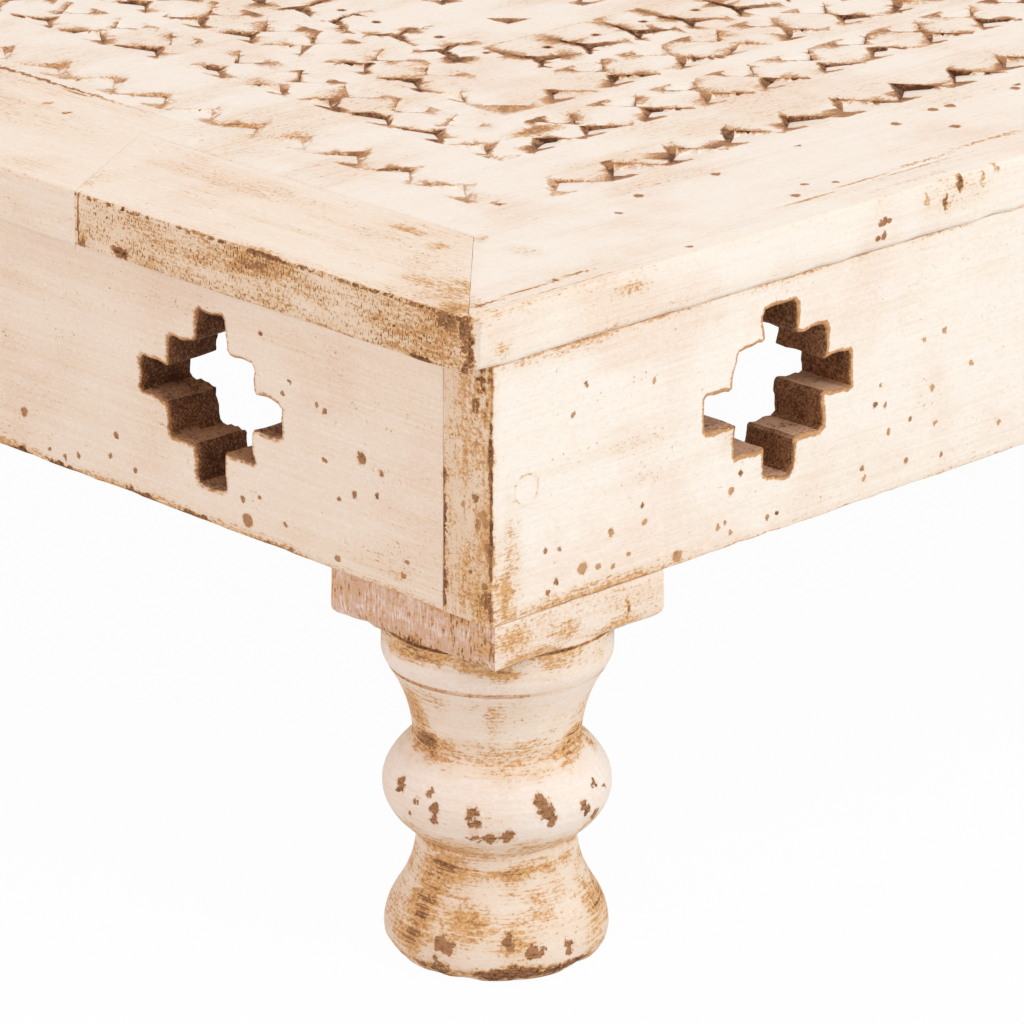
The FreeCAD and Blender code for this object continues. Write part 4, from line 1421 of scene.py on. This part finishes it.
def leg(node, paint, seed, quarter_turns):
    """One leg, made at the front right corner and turned to its own."""
    back = Matrix.Rotation(-quarter_turns * math.pi / 2, 4, "Z")
    a, b = (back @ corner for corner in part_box(node))
    low, high = (min(a.x, b.x), min(a.y, b.y)), (max(a.x, b.x), max(a.y, b.y))
    axis = Vector((low[0] + high[0], low[1] + high[1])) / 2
    plate = worn_board("plate", upside_down, square(low[::-1], high[::-1], PLATE_ARRIS), -APRON_FOOT,
                       PLATE_HEIGHT - APRON_FOOT, grid=12 * MM, back_share=0.15, ragged=1.3 * MM,
                       rough=0.7 * MM, seed=seed)
    post_outline = square((POST_NEAR, -POST_FAR), (POST_FAR, -POST_NEAR), POST_ARRIS)
    post = worn_board("post", as_top, post_outline, APRON_FOOT - POST_LAP, TOP_FOOT, grid=20 * MM,
                      seed=seed + 1)
    mesh = joined(turning(axis, seed), plate, post)
    mesh.name = "turned_" + node
    piece = in_scene("turned_" + node, mesh)
    return dress(piece, paint, node, quarter_turns)


# %% Marks on a leg
LEG_FLAKES = (
    (250.8, -286, 52.3, 2.1), (250.6, -286, 50.4, 1.7), (262.7, -287, 53.5, 1.4), (258.4, -288, 50, 1.2),
    (264.9, -287, 49.4, 1.8), (264.6, -287, 46.4, 1.8), (274.6, -282, 49.6, 2.2),
    (275.0, -281.6, 46.8, 2.3), (274.5, -281, 42.2, 2.0), (277.6, -278.5, 42.2, 2.4),
    (281, -275.4, 43.0, 2.6), (286.6, -267.6, 52.6, 2.6), (287.6, -266.6, 49.4, 2.7),
    (287.6, -264.6, 46.8, 2.2), (288.6, -253.6, 47.8, 2.0), (288.6, -252.4, 46, 1.6),
    (287.5, -248, 43, 1.9), (287.5, -248, 52.5, 1.5), (286, -244, 50, 1.2), (256, -288, 46, 0.9),
    (268, -286, 56, 0.9), (280, -279, 55, 0.8), (284, -272, 40, 0.8), (266, -286, 9, 2.6),
    (268.4, -285, 8, 2.2), (264.6, -285, 3.4, 2.8), (267, -284, 2.6, 2.6), (281.7, -275, 11.6, 1.8),
    (281.9, -274.6, 9.6, 1.4), (285.6, -270, 7.7, 2.3), (287.0, -267.6, 7.3, 1.9),
    (288.5, -258.5, 7.4, 1.9), (288.4, -258.5, 5.6, 1.5), (286, -250, 3, 2.2),
)
LEG_STAINS = (
    ((280, -274, 1.5), (14, 14, 3.0), 1.3), ((262, -281, 1.5), (12, 8, 2.6), 1.2),
    ((288, -258, 1), (6, 10, 2), 1.1), ((289, -282, 104), (3, 9, 5), 0.5),
    ((289, -262, 102), (3, 8, 4), 0.45), ((289, -238, 103), (3, 1.4, 4), 0.8),
    ((258, -288, 94), (12, 6, 5), 0.35), ((289, -263, 94), (6, 9, 4), 0.4),
    ((275.5, -275, 77), (4, 4, 14), 0.35), ((260.5, -283, 62.5), (12, 8, 6), 0.5),
    ((285, -251, 61), (8, 9, 5), 0.45), ((264.6, -279, 33), (14, 9, 6), 0.25),
    ((256, -281, 24), (10, 9, 16), 0.2), ((284, -264, 20), (7, 9, 9), 0.35),
    ((272, -282, 16), (11, 8, 9), 0.45), ((250, -282, 70), (9, 8, 12), 0.4),
    ((281, -276.5, 89), (6, 5, 5), 0.3), ((281, -284, 91.5), (14, 3, 3), 0.3),
)
# Films round the leg: each is its height, its reach up and down, and its strength
LEG_FILMS = (
    (36, 7, 0.62), (64.5, 7, 0.9), (74, 12, 0.4), (25, 10, 0.8), (13, 12, 0.95), (94, 6, 0.6), (3, 5, 0.6),
)
PLATE_FOOT = 96.2
GROOVE = 84.1


def leg_patina(f, density, colour):
    """Patina gathers in the lathe cuts and round the bead, and one face of the plate has gone mauve."""
    height = mark_height(f)
    uneven = f.plus(height, f.less(f.cloud((16, 16, 9), 3, 0.6, 12.0), 0.5), 7)
    lathe = f.cloud((30, 30, 0.7), 2, 0.6, 15.0)
    side = f.step(f.cloud((22, 22, 30), 2, 0.5, 21.0), 0.15, 0.7)
    film = 0.0
    for level, reach, strength in LEG_FILMS:
        film = f.most(film, f.times(f.band(uneven, level, reach), strength))
    film = f.times(film, f.plus(0.35, side, 0.65))
    density = f.plus(density, film, f.plus(0.55, lathe, 0.8))
    density = f.plus(density, f.band(height, GROOVE, 1.3), f.times(side, 0.5))
    density = f.plus(density, f.step(height, 4.0, -1.0), f.add(0.1, f.cloud((7, 7, 5), 3, 0.65, 16.0)))
    density = f.plus(density, f.band(height, PLATE_FOOT, 0.8), 0.8)
    above = f.step(height, PLATE_FOOT - 0.5, PLATE_FOOT + 0.3)
    pore = f.cloud((0.7, 0.7, 4), 2, 0.6, 17.0)
    blot = f.cloud((10, 10, 6), 3, 0.6, 19.0)
    plate = f.times(above, f.facing("Y", -0.5, -0.9))
    chipping = f.plus(f.times(f.step(pore, 0.5, 0.95), 0.9), f.less(blot, 0.4), 0.9)
    density = f.plus(density, plate, chipping)
    cheek = f.times(above, f.facing("X", 0.5, 0.9))
    density = f.plus(density, cheek, f.times(f.cloud((9, 9, 7), 3, 0.6, 18.0), 0.2))
    faded = f.lay(f.step(f.plus(f.times(blot, 0.6), pore, 0.5), 0.6, 0.1), MAUVE, PALE)
    return density, f.lay(f.times(plate, 0.85), f.lay(f.times(film, 0.5), colour, TAN), faded)


leg_paint = painted("leg_paint", "XY", PALE, patina=0.3, wear=0.7, scratched=0.1, pepper=0.4,
                   fray=4.4, flakes=LEG_FLAKES, stains=LEG_STAINS, extra=leg_patina)
for turns, node in enumerate(("leg_front_right", "leg_back_right", "leg_back_left", "leg_front_left")):
    leg(node, leg_paint, 31.0 + turns * 3, turns)

# %% [markdown]
# ## Hidden wood and steel
#
# Battens, glue blocks, dowels and screws keep the construction's own shapes. They only need a finish:
# sawn brown hardwood, and dull steel. The plugs over the corner screws are painted with the aprons.

# %% Finish the construction's own pieces
batten_wood = bare_wood("batten_wood", "X")
block_wood = bare_wood("block_wood", "Y")
screw_steel = plain_steel("screw_steel")
plug_paint = painted("plug_paint", "Y", patina=0.5)
for name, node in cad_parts.items():
    if name.startswith("batten_") and not name.endswith("screws"):
        finish = batten_wood
    elif name.startswith("glue_block") or name.endswith("dowels"):
        finish = block_wood
    elif name.endswith("screws"):
        finish = screw_steel
    elif name == "screw_plugs":
        finish = plug_paint
    else:
        continue
    node.data.materials.clear()
    node.data.materials.append(finish)

# %% [markdown]
# ## Floor, light and camera
#
# The table stands on a plain white floor. A large soft lamp from the right and above gives the faces their
# different levels, and a pale sky fills the rest. Rays from the camera see the floor and sky as white.

# %% Floor
def see_white(tree, lit, share):
    """Mix white into what the camera sees, and leave what the light sees alone."""
    rays = tree.nodes.new("ShaderNodeLightPath").outputs
    white = tree.nodes.new("ShaderNodeEmission")
    mixed = tree.nodes.new("ShaderNodeMixShader")
    seen = rays["Is Camera Ray"]
    for name in ("Is Glossy Ray", "Is Transmission Ray"):
        either = tree.nodes.new("ShaderNodeMath")
        either.operation = "MAXIMUM"
        tree.links.new(seen, either.inputs[0])
        tree.links.new(rays[name], either.inputs[1])
        seen = either.outputs[0]
    scaled = tree.nodes.new("ShaderNodeMath")
    scaled.operation = "MULTIPLY"
    scaled.inputs[1].default_value = share
    tree.links.new(seen, scaled.inputs[0])
    for number, source in enumerate((scaled.outputs[0], lit, white.outputs[0])):
        tree.links.new(source, mixed.inputs[number])
    return mixed.outputs[0]


FLOOR_REACH = 12.0
FLOOR_GREY = (0.8, 0.8, 0.8, 1)
FLOOR_CORNERS = ((-1, -1), (1, -1), (1, 1), (-1, 1))
floor_mesh = bpy.data.meshes.new("floor")
floor_corners = [(x * FLOOR_REACH, y * FLOOR_REACH, 0) for x, y in FLOOR_CORNERS]
floor_mesh.from_pydata(floor_corners, [], [(0, 1, 2, 3)])
floor = in_scene("floor", floor_mesh)
floor_paint = bpy.data.materials.new("floor_paint")
floor_paint.use_nodes = True
floor_tree = floor_paint.node_tree
floor_shader = floor_tree.nodes["Principled BSDF"]
floor_shader.inputs["Base Color"].default_value = FLOOR_GREY
floor_shader.inputs["Roughness"].default_value = 0.9
floor_view = see_white(floor_tree, floor_shader.outputs[0], 0.97)
floor_tree.links.new(floor_view, floor_tree.nodes["Material Output"].inputs["Surface"])
floor.data.materials.append(floor_paint)

# %% Sky and lamps
sky = bpy.data.worlds.new("pale_sky")
sky.use_nodes = True
bpy.context.scene.world = sky
sky_light = sky.node_tree.nodes["Background"]
sky_light.inputs["Color"].default_value = (1.0, 0.96, 0.95, 1.0)
sky_light.inputs["Strength"].default_value = 0.82
sky_view = see_white(sky.node_tree, sky_light.outputs[0], 1.0)
sky.node_tree.links.new(sky_view, sky.node_tree.nodes["World Output"].inputs["Surface"])


def soft_lamp(name, place, aim, size, power, colour):
    """A square area lamp at a place, turned to its aim."""
    lamp = bpy.data.lights.new(name, "AREA")
    lamp.size = size
    lamp.energy = power
    lamp.color = colour
    holder = in_scene(name, lamp)
    holder.location = place
    holder.rotation_euler = (Vector(aim) - Vector(place)).to_track_quat("-Z", "Y").to_euler()
    return holder


soft_lamp("key", (2.6, 0.4, 1.9), (0, 0, 0.1), 1.6, 32, (0.8, 0.95, 1.0))
soft_lamp("fill", (-1.2, -2.8, 0.7), (0, 0, 0.12), 1.8, 9, (1.0, 0.84, 0.72))

# %% Camera
CAMERA_PLACE = Vector((1291.5, -1261.4, 651.6)) * MM
CAMERA_ROUND = math.radians(45.66)
CAMERA_UP = math.radians(19.95)
CAMERA_ROLL = math.radians(0.296)
SENSOR = 36.0
LENS = 196.72
camera_data = bpy.data.cameras.new("camera")
camera_data.sensor_width = SENSOR
camera_data.lens = LENS
camera = in_scene("camera", camera_data)
camera.location = CAMERA_PLACE
tilt = Matrix.Rotation(math.pi / 2 - CAMERA_UP, 4, "X")
turn = Matrix.Rotation(CAMERA_ROUND, 4, "Z") @ tilt @ Matrix.Rotation(CAMERA_ROLL, 4, "Z")
camera.rotation_euler = turn.to_euler()
bpy.context.scene.camera = camera
bpy.context.scene.view_settings.view_transform = "Standard"
print("camera", [round(v, 5) for row in turn.to_3x3() for v in row])
